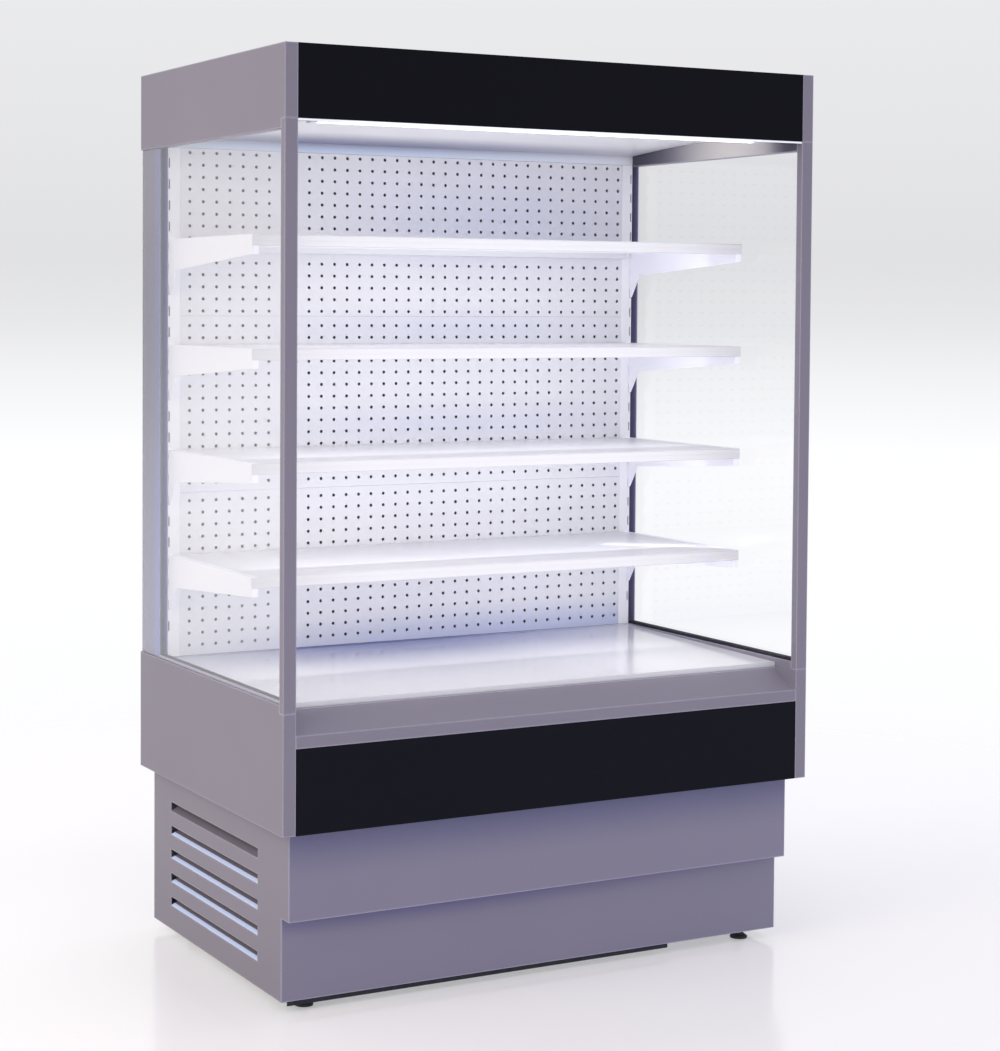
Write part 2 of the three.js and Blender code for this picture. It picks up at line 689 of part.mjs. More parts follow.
// ---------------------------------------------------------------- end walls
const GLASS_Y = [POST_DEPTH - GLASS_BITE, DEPTH - GLASS_RECESS];
const GLASS_Z = [GLASS_BOTTOM - GLASS_BITE, GLASS_TOP + GLASS_BITE];

const sideGlass = () => block([GLASS_INNER, GLASS_OUTER], GLASS_Y, GLASS_Z);

// The room that a pane needs in the pieces that hold it.
function glassGroove() {
  const grow = ([low, high]) => [low - SEAT_GAP, high + SEAT_GAP];
  return block(grow([GLASS_INNER, GLASS_OUTER]), grow(GLASS_Y), grow(GLASS_Z));
}

function upperEndPanel() {
  const outline = [
    [0, HEIGHT],
    [0, FASCIA_BOTTOM],
    [POST_DEPTH, FASCIA_BOTTOM],
    [POST_DEPTH, GLASS_TOP],
    [DEPTH, GLASS_TOP],
    [DEPTH, HEIGHT],
  ];
  return cut(alongX(outline, [INNER, HALF]), glassGroove());
}

const deckTopAt = (y) =>
  DECK_FRONT_TOP + ((DECK_REAR_TOP - DECK_FRONT_TOP) * (y - DECK_FRONT)) / (DECK_BACK - DECK_FRONT);

// Lower end panel, with the ledge that carries the deck.
function lowerEndPanel() {
  const outline = [
    [0, BODY_BOTTOM],
    [DEPTH, BODY_BOTTOM],
    [DEPTH, GLASS_BOTTOM],
    [POST_DEPTH, GLASS_BOTTOM],
    [POST_DEPTH, POST_BOTTOM],
    [0, POST_BOTTOM],
  ];
  const panel = cut(alongX(outline, [INNER, HALF]), glassGroove());
  const [front, back] = [DECK_FRONT + 3 * SHEET, DECK_BACK - 3 * SHEET];
  const under = SHEET + SEAT_GAP;
  const ledge = [
    [front, deckTopAt(front) - under],
    [front, deckTopAt(front) - under - LEDGE_HEIGHT],
    [back, deckTopAt(back) - under - LEDGE_HEIGHT],
    [back, deckTopAt(back) - under],
  ];
  return join(panel, alongX(ledge, [INNER - LEDGE, INNER + SHEET]));
}

function frontPost() {
  const z = [POST_BOTTOM + SEAT_GAP, FASCIA_BOTTOM - SEAT_GAP];
  return cut(block([INNER, HALF], [0, POST_DEPTH], z), glassGroove());
}

// Black strip along the foot of the pane's inner face.
function glassSeal() {
  const x = [INNER + SEAL_INSET, GLASS_INNER - SEAT_GAP];
  const y = [POST_DEPTH + SEAT_GAP, BACK_WALL_Y - REAR_LIP - SEAT_GAP];
  const bottom = GLASS_BOTTOM + SEAT_GAP;
  return block(x, y, [bottom, bottom + SEAL_HEIGHT]);
}

function addEndWalls(cabinet) {
  addPair(cabinet, "upper_end_panel", upperEndPanel(), greyPaint);
  addPair(cabinet, "lower_end_panel", lowerEndPanel(), greyPaint);
  addPair(cabinet, "front_post", frontPost(), greyPaint);
  addPair(cabinet, "side_glass", sideGlass(), clearGlass);
  addPair(cabinet, "glass_seal", glassSeal(), blackRubber);
}

// ---------------------------------------------------------------- front
// A black panel: a face with a fold along its top and bottom, hooked on the body behind.
function blackPanel(bottom, top) {
  const back = FRONT_CAVITY - SEAT_GAP;
  const path = [
    [back, top],
    [0, top],
    [0, bottom],
    [back, bottom],
  ];
  return alongX(folded(path, BLACK_SKIN), across(BETWEEN_WALLS));
}

// Bumper band and sloping sill, one profile that hooks over the foamed front wall.
function frontSill() {
  const bottom = BLACK_PANEL_TOP + SEAT_GAP;
  const path = [
    [SLOPE_BACK, FRONT_WALL_TOP - RAIL],
    [SLOPE_BACK, SLOPE_TOP],
    [0, BUMPER_TOP],
    [0, bottom],
    [FRONT_CAVITY - SEAT_GAP, bottom],
  ];
  return alongX(folded(path), across(BETWEEN_WALLS));
}

// Deck: one folded sheet that lies on the two ledges and lifts out.
function deckPan() {
  const path = [
    [DECK_FRONT, DECK_FRONT_TOP - DECK_LIP],
    [DECK_FRONT, DECK_FRONT_TOP],
    [DECK_BACK, DECK_REAR_TOP],
    [DECK_BACK, DECK_REAR_TOP - DECK_REAR_FLANGE],
  ];
  return alongX(folded(path.reverse()), across(BETWEEN_WALLS - SEAT_GAP));
}

function addFront(cabinet) {
  addPart(cabinet, "lower_front_panel", blackPanel(BODY_BOTTOM, BLACK_PANEL_TOP), blackGloss);
  addPart(cabinet, "front_sill", frontSill(), greyPaint);
  addPart(cabinet, "deck_pan", deckPan(), whitePaint);
}

// ---------------------------------------------------------------- canopy
// Curved ceiling sheet, hung from the roof by its front flange; its rear fold stands on the lining.
function ceiling() {
  const back = LINING_Y - 2 * SEAT_GAP;
  const curve = times(CEILING_STEPS + 1, (i) => {
    const t = i / CEILING_STEPS;
    const drop = CEILING_FRONT_DROP + (CEILING_REAR_DROP - CEILING_FRONT_DROP) * t;
    const rise = CEILING_CROWN * Math.sin(Math.PI * t);
    return [CEILING_FRONT + (back - CEILING_FRONT) * t, HEIGHT - drop + rise];
  });
  const front = [CEILING_FRONT, ROOF_BOTTOM - SEAT_GAP];
  const rear = [back, UPRIGHT_TOP + SEAT_GAP];
  return alongX(folded([front, ...curve, rear]), across(BETWEEN_WALLS));
}

// Air outlet: a comb of straight cells that turns the cold air into a curtain. Its front edge
// lies on the fold of the fascia, its rear edge on the ledge of the lamp batten.
function airComb() {
  const y = [FRONT_CAVITY + SEAT_GAP, COMB_BACK];
  const z = [COMB_BOTTOM, COMB_BOTTOM + COMB_HEIGHT];
  const body = block(across(COMB_HALF_LENGTH), [y[0] - COMB_LIP, y[1]], z);
  const pitch = (2 * COMB_HALF_LENGTH - COMB_WALL) / COMB_CELLS;
  const cells = times(COMB_CELLS, (i) => {
    const x = -COMB_HALF_LENGTH + COMB_WALL + i * pitch;
    return block([x, x + pitch - COMB_WALL], [y[0] + COMB_WALL, y[1] - COMB_WALL], [z[0] - 1, z[1] + 1]);
  });
  return cut(body, ...cells);
}

// Batten: a folded strip screwed to the ceiling's front flange, with the two lamp holders.
function lampBatten() {
  const front = COMB_BACK + SEAT_GAP + SHEET;
  const back = CEILING_FRONT - SEAT_GAP;
  const bottom = COMB_BOTTOM - SEAT_GAP - SHEET;
  const top = COMB_BOTTOM + COMB_HEIGHT + SEAT_GAP;
  const path = [
    [COMB_BACK - BATTEN_LEDGE, bottom],
    [front, bottom],
    [front, top],
    [back, top],
    [back, top + BATTEN_FLANGE],
  ];
  const strip = alongX(folded(path), across(COMB_HALF_LENGTH));
  const holder = [LAMP_HALF_LENGTH + SEAT_GAP, LAMP_HALF_LENGTH + SEAT_GAP + HOLDER_WIDTH];
  const y = [LAMP_Y - HOLDER_DEPTH / 2, LAMP_Y + HOLDER_DEPTH / 2];
  const holders = [holder, [-holder[1], -holder[0]]].map((x) =>
    block(x, y, [LAMP_Z - LAMP_RADIUS, top + SHEET / 2]),
  );
  return join(strip, ...holders);
}

const ledTube = () => rod("x", LAMP_RADIUS, [-LAMP_HALF_LENGTH, LAMP_Y, LAMP_Z], 2 * LAMP_HALF_LENGTH, 24);

function addCanopy(cabinet) {
  addPart(cabinet, "canopy_fascia", blackPanel(FASCIA_BOTTOM, HEIGHT), blackGloss);
  addPart(cabinet, "ceiling_panel", ceiling(), whitePaint);
  addPart(cabinet, "air_outlet_comb", airComb(), blackPlastic);
  addPart(cabinet, "lamp_batten", lampBatten(), whitePaint);
  addPart(cabinet, "led_tube", ledTube(), lampGlass);
}

// ---------------------------------------------------------------- lining and uprights
// Slotted upright: a channel whose front web has a slot every pitch, in line with the hooks.
function upright() {
  const z = [UPRIGHT_BOTTOM, UPRIGHT_TOP];
  const outline = folded([
    [UPRIGHT_OUTER, BACK_WALL_Y - SEAT_GAP],
    [UPRIGHT_OUTER, LINING_Y],
    [UPRIGHT_INNER, LINING_Y],
    [UPRIGHT_INNER, BACK_WALL_Y - SEAT_GAP],
  ].reverse());
  const slotX = [WEB_INNER - SLOT_CLEARANCE, WEB_OUTER + SLOT_CLEARANCE];
  const room = UPRIGHT_TOP - UPRIGHT_MARGIN - SLOT_HEIGHT - SLOT_START;
  const slots = times(1 + Math.floor(room / SLOT_PITCH), (i) => {
    const bottom = SLOT_START + i * SLOT_PITCH;
    return block(slotX, [LINING_Y - 1, LINING_Y + SHEET + 1], [bottom, bottom + SLOT_HEIGHT]);
  });
  return cut(alongZ(outline, z), ...slots);
}

// Back lining panel: a shallow pan, open to the air duct behind it.
function backPanel(bottom, top) {
  const half = UPRIGHT_INNER - PANEL_GAP;
  const outside = block(across(half), [LINING_Y, LINING_Y + BACK_FLANGE], [bottom, top]);
  const inside = block(
    across(half - SHEET),
    [LINING_Y + SHEET, LINING_Y + BACK_FLANGE + 1],
    [bottom + SHEET, top - SHEET],
  );
  return cut(outside, inside);
}

function addLining(cabinet) {
  addPair(cabinet, "slotted_upright", upright(), whitePaint);
  const edges = [UPRIGHT_BOTTOM, ...BACK_JOINTS, UPRIGHT_TOP];
  ["lower", "middle", "upper"].forEach((name, i) => {
    const panel = backPanel(edges[i] + PANEL_GAP / 2, edges[i + 1] - PANEL_GAP / 2);
    addPart(cabinet, name + "_back_panel", panel, whitePaint);
  });
}

// ---------------------------------------------------------------- shelves
// Right-hand bracket, drawn with the shelf's top face at z = 0. The web tapers to the front,
// and its two hooks pass through the upright's slots and drop behind the upright's face.
function bracket() {
  const [crookY, crookZ] = BRACKET_CROOK;
  const [heelY, heelZ] = BRACKET_HEEL;
  const outline = [
    [SHELF_FRONT, 0],
    [SHELF_FRONT, -BRACKET_FRONT],
    [LINING_Y - crookY, -crookZ],
    [LINING_Y - heelY, -heelZ],
    [SHELF_BACK, -heelZ],
    [SHELF_BACK, 0],
  ];
  const web = alongX(outline, [WEB_INNER, WEB_OUTER]);
  const nose = block([FLANGE_INNER, WEB_OUTER], [SHELF_FRONT, SHELF_FRONT + SHEET], [-BRACKET_FRONT, 0]);
  const back = LINING_Y - crookY / 2;
  const flange = block([FLANGE_INNER, WEB_OUTER], [SHELF_FRONT, back], [-SHEET, 0]);
  const seat = traySeat([SHELF_FRONT + TRAY_HEM + HEM_CLEARANCE, back]);
  return join(web, nose, flange, seat, ...HOOK_DROPS.map(hook));
}

// The step in the bracket's flange that the tray lies on.
function traySeat(run) {
  const top = -SHEET - SEAT_GAP;
  const outline = [
    [FLANGE_INNER + SHEET, 0],
    [FLANGE_INNER, 0],
    [FLANGE_INNER, top],
    [FLANGE_INNER - LEDGE_REACH, top],
    [FLANGE_INNER - LEDGE_REACH, top - SHEET],
    [FLANGE_INNER + SHEET, top - SHEET],
  ];
  return alongY(outline, run);
}

function hook(drop) {
  const x = [WEB_INNER, WEB_OUTER];
  const behind = LINING_Y + SHEET + SEAT_GAP;
  const neck = block(x, [SHELF_BACK - SHEET, behind + SHEET + 1], [-drop, -drop + HOOK_NECK]);
  const tongue = block(x, [behind, behind + SHEET + 1], [-drop - HOOK_TONGUE, -drop + HOOK_NECK]);
  return join(neck, tongue);
}

// Shelf tray, top face at z = 0: lip and hem in front, flange behind, two ribs below.
function tray() {
  const back = SHELF_BACK - TRAY_REAR_GAP;
  const path = [
    [back, -TRAY_REAR_FLANGE],
    [back, 0],
    [SHELF_FRONT, 0],
    [SHELF_FRONT, -TRAY_LIP],
    [SHELF_FRONT + TRAY_HEM, -TRAY_LIP],
  ];
  const sheet = alongX(folded(path), across(TRAY_HALF));
  const seatEnd = FLANGE_INNER - LEDGE_REACH - 1;
  const ribs = RIB_SETS.map((behind) => {
    const y = SHELF_FRONT + behind;
    return block(across(seatEnd), [y, y + RIB_HEIGHT], [-RIB_HEIGHT, -SHEET / 2]);
  });
  return join(sheet, ...ribs);
}

function addShelves(cabinet) {
  const rightBracket = toGeometry(bracket());
  const leftBracket = mirrored(rightBracket);
  const sheet = toGeometry(tray());
  SHELF_SLOTS.forEach((slot, i) => {
    const shelf = new THREE.Group();
    shelf.position.z = SLOT_START + slot * SLOT_PITCH + HOOK_SEAT + HOOK_DROPS[0];
    cabinet.add(shelf);
    addMesh(shelf, "shelf_tray_" + (i + 1), sheet, whitePaint);
    addMesh(shelf, "left_bracket_" + (i + 1), leftBracket, whitePaint);
    addMesh(shelf, "right_bracket_" + (i + 1), rightBracket, whitePaint);
  });
}

// ---------------------------------------------------------------- fans
// Impeller about z: a hub bored for its shaft, with pitched blades that widen to the tip.
function impeller(hub, tip, width) {
  const angle = THREE.MathUtils.degToRad(BLADE_PITCH);
  const inner = hub * 0.8;
  const outline = [
    [inner, -hub * 0.45],
    [tip * 0.75, -tip * 0.34],
    [tip * 0.93, -tip * 0.28],
    [tip * 0.985, 0],
    [tip * 0.93, tip * 0.28],
    [tip * 0.7, tip * 0.3],
    [inner, hub * 0.45],
  ];
  const half = BLADE_THICKNESS / 2;
  const blades = times(BLADE_COUNT, (i) => {
    const place = new THREE.Matrix4()
      .makeRotationZ((i * 2 * Math.PI) / BLADE_COUNT)
      .multiply(new THREE.Matrix4().makeRotationX(angle))
      .multiply(new THREE.Matrix4().setPosition(0, 0, -half));
    return extrude(outline, BLADE_THICKNESS, place);
  });
  const profile = [
    [0, -width / 2],
    [hub, -width / 2],
    [hub, width / 4],
    [hub * 0.7, width / 2],
    [0, width / 2],
  ];
  const cap = turned(profile, 20);
  const bore = rod("z", SHAFT_RADIUS + SHAFT_CLEARANCE, [0, 0, -width], width * 1.25, 12);
  return cut(join(cap, ...blades), bore);
}

// Motor about z, facing +z: can, shaft into the impeller's bore, and three arms to the plate.
function fanMotor(hub, width, ringRadius) {
  const face = -width / 2 - SEAT_GAP;
  const can = rod("z", MOTOR_RADIUS * Math.min(1, hub / 24), [0, 0, face - MOTOR_LENGTH], MOTOR_LENGTH, 20);
  const shaft = rod("z", SHAFT_RADIUS, [0, 0, face - SHEET], SHEET + width * 0.6, 12);
  const arms = times(3, (i) => {
    const bar = new THREE.BoxGeometry(ringRadius, ARM_WIDTH, BLADE_THICKNESS * 2);
    bar.translate(ringRadius / 2, 0, face - MOTOR_LENGTH / 2).rotateZ((i * 2 * Math.PI) / 3 + 0.5);
    return toSolid(bar);
  });
  return { body: join(can, shaft, ...arms), reach: face - MOTOR_LENGTH / 2 };
}

function placed(solid, rotation, position) {
  const geometry = toGeometry(solid);
  geometry.applyMatrix4(new THREE.Matrix4().makeRotationFromEuler(rotation));
  geometry.translate(...position);
  return toSolid(geometry);
}

// ---------------------------------------------------------------- cold side
const FACING_FRONT = new THREE.Euler(Math.PI / 2, 0, 0); // a piece drawn along +z looks along -y
const FACING_LEFT = new THREE.Euler(0, -Math.PI / 2, 0); // and here along -x

// Plate under the deck that carries the two evaporator fans on their motors.
function fanPlate() {
  const half = INNER - LEDGE - SEAT_GAP;
  const bottom = FLOOR_TOP + SEAT_GAP;
  const path = [
    [FAN_PLATE_Y + FAN_PLATE_FLANGE, bottom],
    [FAN_PLATE_Y, bottom],
    [FAN_PLATE_Y, FAN_PLATE_TOP],
    [FAN_PLATE_Y + FAN_PLATE_FLANGE, FAN_PLATE_TOP],
  ];
  const plate = alongX(folded(path.reverse()), across(half));
  const hole = COLD_FAN_TIP + TIP_CLEARANCE;
  const holes = [-COLD_FAN_X, COLD_FAN_X].map((x) =>
    rod("y", hole, [x, FAN_PLATE_Y - SHEET, COLD_FAN_Z], 3 * SHEET, 32),
  );
  const carriers = [-COLD_FAN_X, COLD_FAN_X].map((x) => fanCarrier(x, hole));
  return join(cut(plate, ...holes), ...carriers);
}

// Motor with its arms, and the three studs that tie the arms to the plate.
function fanCarrier(x, hole) {
  const { body, reach } = fanMotor(COLD_FAN_HUB, COLD_FAN_WIDTH, hole + ARM_WIDTH);
  const studs = times(3, (i) => {
    const turn = (i * 2 * Math.PI) / 3 + 0.5;
    const radius = hole + ARM_WIDTH / 2;
    const place = [radius * Math.cos(turn), radius * Math.sin(turn), reach];
    return rod("z", ARM_WIDTH / 2, place, -reach, 8);
  });
  return placed(join(body, ...studs), FACING_FRONT, [x, FAN_PLATE_Y + SHEET / 2, COLD_FAN_Z]);
}

// A block of upright fins between two end plates, with return bends and the two brazed lines.
function evaporator() {
  const section = finned([-COIL_HALF, COIL_HALF], [COIL_BOTTOM, COIL_TOP], COIL_FINS, FIN_DEPTH);
  const coil = alongY(section, [COIL_FRONT, COIL_BACK]);
  const feet = FLOOR_TOP + SEAT_GAP;
  const ends = [-1, 1].map((side) => {
    const x = [side * COIL_HALF, side * (COIL_HALF + COIL_END)].sort((a, b) => a - b);
    return block(x, [COIL_FRONT, COIL_BACK], [feet, COIL_TOP]);
  });
  return join(coil, ...ends, ...returnBends(), suctionLine(), liquidLine());
}

// The section of a block with fins along its upper edge.
function finned([start, end], [low, high], count, depth) {
  const pitch = (end - start) / count;
  const fin = pitch / 3;
  const fins = times(count, (i) => {
    const edge = end - i * pitch;
    return [
      [edge, high],
      [edge - fin, high],
      [edge - fin, high - depth],
      [edge - pitch, high - depth],
    ];
  });
  return [[start, low], [end, low], ...fins.flat()];
}

function returnBends() {
  const columnStep = (COIL_BACK - COIL_FRONT) / (BEND_COLUMNS + 1);
  const [near, far] = [-COIL_HALF, -COIL_HALF - COIL_END - BEND_REACH];
  const middle = (COIL_BOTTOM + COIL_TOP) / 2;
  return times(BEND_COLUMNS, (i) => {
    const y = COIL_FRONT + (i + 1) * columnStep;
    const corners = [
      [near, y, middle - BEND_SPAN],
      [far, y, middle - BEND_SPAN],
      [far, y, middle + BEND_SPAN],
      [near, y, middle + BEND_SPAN],
    ];
    return pipe(corners, BEND_RADIUS);
  });
}

// Suction line: out of the coil, down through the floor and on to the compressor.
function suctionLine() {
  const height = COIL_BOTTOM + BEND_SPAN;
  const end = POT_X + POT_RADIUS + 2 * SUCTION_RADIUS + SEAT_GAP;
  return pipe(
    [
      [COIL_HALF, POT_Y, height],
      [SUCTION_X, POT_Y, height],
      [SUCTION_X, POT_Y, SUCTION_Z],
      [end, POT_Y, SUCTION_Z],
    ],
    SUCTION_RADIUS,
  );
}

// Liquid line: from the condenser's outlet, behind the unit and up into the coil.
function liquidLine() {
  const height = COIL_BOTTOM + BEND_SPAN;
  return pipe(
    [
      [COIL_HALF, LINE_Y, height],
      [LIQUID_X, LINE_Y, height],
      [LIQUID_X, LINE_Y, LIQUID_Z],
      [CONDENSER_X + CONDENSER_THICKNESS / 2, LINE_Y, LIQUID_Z],
      [CONDENSER_X + CONDENSER_THICKNESS / 2, CONDENSER_BACK + SHEET + SEAT_GAP, LIQUID_Z],
    ],
    LINE_RADIUS,
  );
}

function addColdSide(cabinet) {
  addPart(cabinet, "evaporator_coil", evaporator(), aluminium);
  addPart(cabinet, "evaporator_fan_plate", fanPlate(), zincSheet);
  const blades = toGeometry(impeller(COLD_FAN_HUB, COLD_FAN_TIP, COLD_FAN_WIDTH));
  [
    ["left", -COLD_FAN_X],
    ["right", COLD_FAN_X],
  ].forEach(([name, x]) => {
    const fan = addMesh(cabinet, name + "_evaporator_fan", blades, blackPlastic);
    fan.rotation.copy(FACING_FRONT);
    fan.position.set(x, FAN_PLATE_Y + SHEET / 2, COLD_FAN_Z);
  });
}

// ---------------------------------------------------------------- warm side
// Hermetic compressor on its plate and grommets, with the suction stub and the discharge line.
function compressor() {
  const plateBottom = ON_PAN + GROMMET_HEIGHT;
  const [long, wide, thick] = POT_PLATE;
  const rim = POT_RADIUS + 5;
  const seam = POT_HEIGHT * 0.52;
  const pot = turned([
    [0, 0],
    [POT_RADIUS * 0.72, 0],
    [POT_RADIUS * 0.95, POT_HEIGHT * 0.08],
    [POT_RADIUS, POT_HEIGHT * 0.16],
    [POT_RADIUS, seam],
    [rim, seam],
    [rim, seam + 6],
    [POT_RADIUS, seam + 8],
    [POT_RADIUS * 0.97, POT_HEIGHT * 0.78],
    [POT_RADIUS * 0.8, POT_HEIGHT * 0.92],
    [POT_RADIUS * 0.45, POT_HEIGHT],
    [0, POT_HEIGHT],
  ]);
  const shell = pot.translate([POT_X, POT_Y, plateBottom + thick - 1]);
  const plateX = [POT_X - long / 2, POT_X + long / 2];
  const plateY = [POT_Y - wide / 2, POT_Y + wide / 2];
  const plate = block(plateX, plateY, [plateBottom, plateBottom + thick]);
  const inset = 2 * GROMMET_RADIUS;
  const grommets = [plateX[0] + inset, plateX[1] - inset].flatMap((x) =>
    [plateY[0] + inset, plateY[1] - inset].map((y) =>
      rod("z", GROMMET_RADIUS, [x, y, ON_PAN], GROMMET_HEIGHT + 1, 12),
    ),
  );
  const stub = rod("x", SUCTION_RADIUS, [POT_X, POT_Y, SUCTION_Z], POT_RADIUS + 2 * SUCTION_RADIUS, 10);
  return join(shell, plate, ...grommets, stub, dischargeLine());
}

function dischargeLine() {
  return pipe(
    [
      [POT_X, POT_Y, DISCHARGE_Z],
      [POT_X, LINE_Y, DISCHARGE_Z],
      [CONDENSER_X + CONDENSER_THICKNESS / 2, LINE_Y, DISCHARGE_Z],
      [CONDENSER_X + CONDENSER_THICKNESS / 2, CONDENSER_BACK + SHEET + SEAT_GAP, DISCHARGE_Z],
    ],
    LINE_RADIUS,
  );
}

// Condenser with its fan shroud and the motor on the shroud's arms.
function condenser() {
  const z = [ON_PAN, ON_PAN + CONDENSER_HEIGHT];
  const face = [-CONDENSER_INNER, -CONDENSER_X];
  const section = finned([CONDENSER_FRONT, CONDENSER_BACK], face, CONDENSER_FINS, CONDENSER_FIN_DEPTH);
  const core = alongZ(section.map(([y, left]) => [-left, y]), z);
  const ends = [CONDENSER_FRONT - SHEET, CONDENSER_BACK].map((y) =>
    block([CONDENSER_X, CONDENSER_INNER + SHEET], [y, y + SHEET], z),
  );
  return join(core, ...ends, shroud(z), warmMotor());
}

function shroud(z) {
  const wall = SHROUD_WALL;
  const y = [CONDENSER_FRONT, CONDENSER_BACK];
  const box = block([CONDENSER_INNER - wall, SHROUD_FACE], y, z);
  const inside = block(
    [CONDENSER_INNER - 2 * wall, SHROUD_FACE - wall],
    [y[0] + wall, y[1] - wall],
    [z[0] + wall, z[1] - wall],
  );
  const hole = WARM_FAN_TIP + TIP_CLEARANCE;
  const mouth = rod("x", hole, [SHROUD_FACE - 2 * wall, WARM_FAN_Y, WARM_FAN_Z], 4 * wall, 36);
  return cut(box, inside, mouth);
}

// The motor stands inboard of the shroud, on arms that end on its face.
function warmMotor() {
  const hole = WARM_FAN_TIP + TIP_CLEARANCE;
  const { body, reach } = fanMotor(WARM_FAN_HUB, WARM_FAN_WIDTH, hole + ARM_WIDTH);
  const studs = times(3, (i) => {
    const turn = (i * 2 * Math.PI) / 3 + 0.5;
    const radius = hole + ARM_WIDTH / 2;
    return rod("z", ARM_WIDTH / 2, [radius * Math.cos(turn), radius * Math.sin(turn), reach], -reach, 8);
  });
  return placed(join(body, ...studs), FACING_LEFT, [SHROUD_FACE - 1, WARM_FAN_Y, WARM_FAN_Z]);
}

function controlBox() {
  const { x, depth, bottom, top, lid } = CONTROL_BOX;
  const back = FRAME_FRONT + RAIL + SEAT_GAP;
  const box = block(x, [back, back + depth - lid], [bottom, top]);
  const cover = block([x[0] + 3, x[1] - 3], [back + depth - lid - 1, back + depth], [bottom + 3, top - 3]);
  const glands = times(3, (i) =>
    rod("z", 8, [x[0] + 35 + i * 50, back + depth / 2, bottom - 14], 16, 8),
  );
  return join(box, cover, ...glands);
}

function addWarmSide(cabinet) {
  addPart(cabinet, "compressor", compressor(), blackPaint);
  addPart(cabinet, "condenser", condenser(), aluminium);
  addPart(cabinet, "control_box", controlBox(), blackPlastic);
  const blades = impeller(WARM_FAN_HUB, WARM_FAN_TIP, WARM_FAN_WIDTH);
  const fan = addPart(cabinet, "condenser_fan", blades, blackPlastic);
  fan.rotation.copy(FACING_LEFT);
  fan.position.set(SHROUD_FACE - 1, WARM_FAN_Y, WARM_FAN_Z);
}

// ---------------------------------------------------------------- whole cabinet
// The frame's origin is on the floor, under the middle of the cabinet.
const fridge = new THREE.Group();
const cabinet = new THREE.Group();
cabinet.position.y = -DEPTH / 2;
fridge.add(cabinet);
addBase(cabinet);
addInsulation(cabinet);
addEndWalls(cabinet);
addFront(cabinet);
addCanopy(cabinet);
addLining(cabinet);
addShelves(cabinet);
addColdSide(cabinet);
addWarmSide(cabinet);

export default fridge;
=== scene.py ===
"""Looks of an open multideck display fridge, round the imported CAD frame. All in metres."""

import bpy
import bmesh
import json
import math
from mathutils import Matrix, Vector


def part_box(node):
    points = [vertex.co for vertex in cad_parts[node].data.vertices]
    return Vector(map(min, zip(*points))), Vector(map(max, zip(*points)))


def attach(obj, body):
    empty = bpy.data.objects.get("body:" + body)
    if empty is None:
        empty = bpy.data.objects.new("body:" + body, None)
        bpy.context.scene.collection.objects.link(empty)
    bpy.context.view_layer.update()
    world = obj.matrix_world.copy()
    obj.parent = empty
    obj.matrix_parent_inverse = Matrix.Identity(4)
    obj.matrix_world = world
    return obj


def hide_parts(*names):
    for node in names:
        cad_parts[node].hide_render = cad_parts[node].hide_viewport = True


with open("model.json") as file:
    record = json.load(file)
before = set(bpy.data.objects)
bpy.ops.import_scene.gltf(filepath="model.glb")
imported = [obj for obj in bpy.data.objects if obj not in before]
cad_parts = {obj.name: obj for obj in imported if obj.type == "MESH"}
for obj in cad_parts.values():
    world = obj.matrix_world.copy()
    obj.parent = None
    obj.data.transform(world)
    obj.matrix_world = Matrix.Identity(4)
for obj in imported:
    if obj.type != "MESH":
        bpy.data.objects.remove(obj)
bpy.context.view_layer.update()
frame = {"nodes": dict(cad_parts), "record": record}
SLOT_OF = {part["node"]: part["material_slot"] for part in frame["record"]["subparts"]}
DEPTH = 0.795


def back(y):
    """The frame's y of a distance behind the front face, both in metres."""
    return y - DEPTH / 2


# -------------------------------------------------- camera, as fitted to the photograph
PHOTO_WIDTH, PHOTO_HEIGHT = 1000, 1051  # pixels
FOCAL_LENGTH = 2230.94  # pixels
OPTICAL_CENTRE = (399.98, 391.02)  # pixels from the photograph's upper left corner
SENSOR = 36  # millimetres along the photograph's longer side
CAMERA_TURN = (27.5904, -2.2467, 0.3022)  # yaw, pitch and roll in degrees
CAMERA_PLACE = (-2.51257, -4.4516, 1.46082)
CLIP_END = 60


def add_camera():
    yaw, pitch, roll = (math.radians(a) for a in CAMERA_TURN)
    level = math.cos(pitch)
    ahead = Vector((math.sin(yaw) * level, math.cos(yaw) * level, math.sin(pitch)))
    right = Vector((math.cos(yaw), -math.sin(yaw), 0))
    up = right.cross(ahead)
    tilted_right = right * math.cos(roll) + up * math.sin(roll)
    tilted_up = up * math.cos(roll) - right * math.sin(roll)
    turn = Matrix((tilted_right, tilted_up, -ahead)).transposed().to_4x4()
    data = bpy.data.cameras.new("camera")
    data.sensor_width = SENSOR
    data.lens = FOCAL_LENGTH * SENSOR / PHOTO_HEIGHT
    data.shift_x = (PHOTO_WIDTH / 2 - OPTICAL_CENTRE[0]) / PHOTO_HEIGHT
    data.shift_y = (OPTICAL_CENTRE[1] - PHOTO_HEIGHT / 2) / PHOTO_HEIGHT
    data.clip_end = CLIP_END
    camera = bpy.data.objects.new("camera", data)
    camera.matrix_world = Matrix.Translation(CAMERA_PLACE) @ turn
    bpy.context.scene.collection.objects.link(camera)
    bpy.context.scene.camera = camera


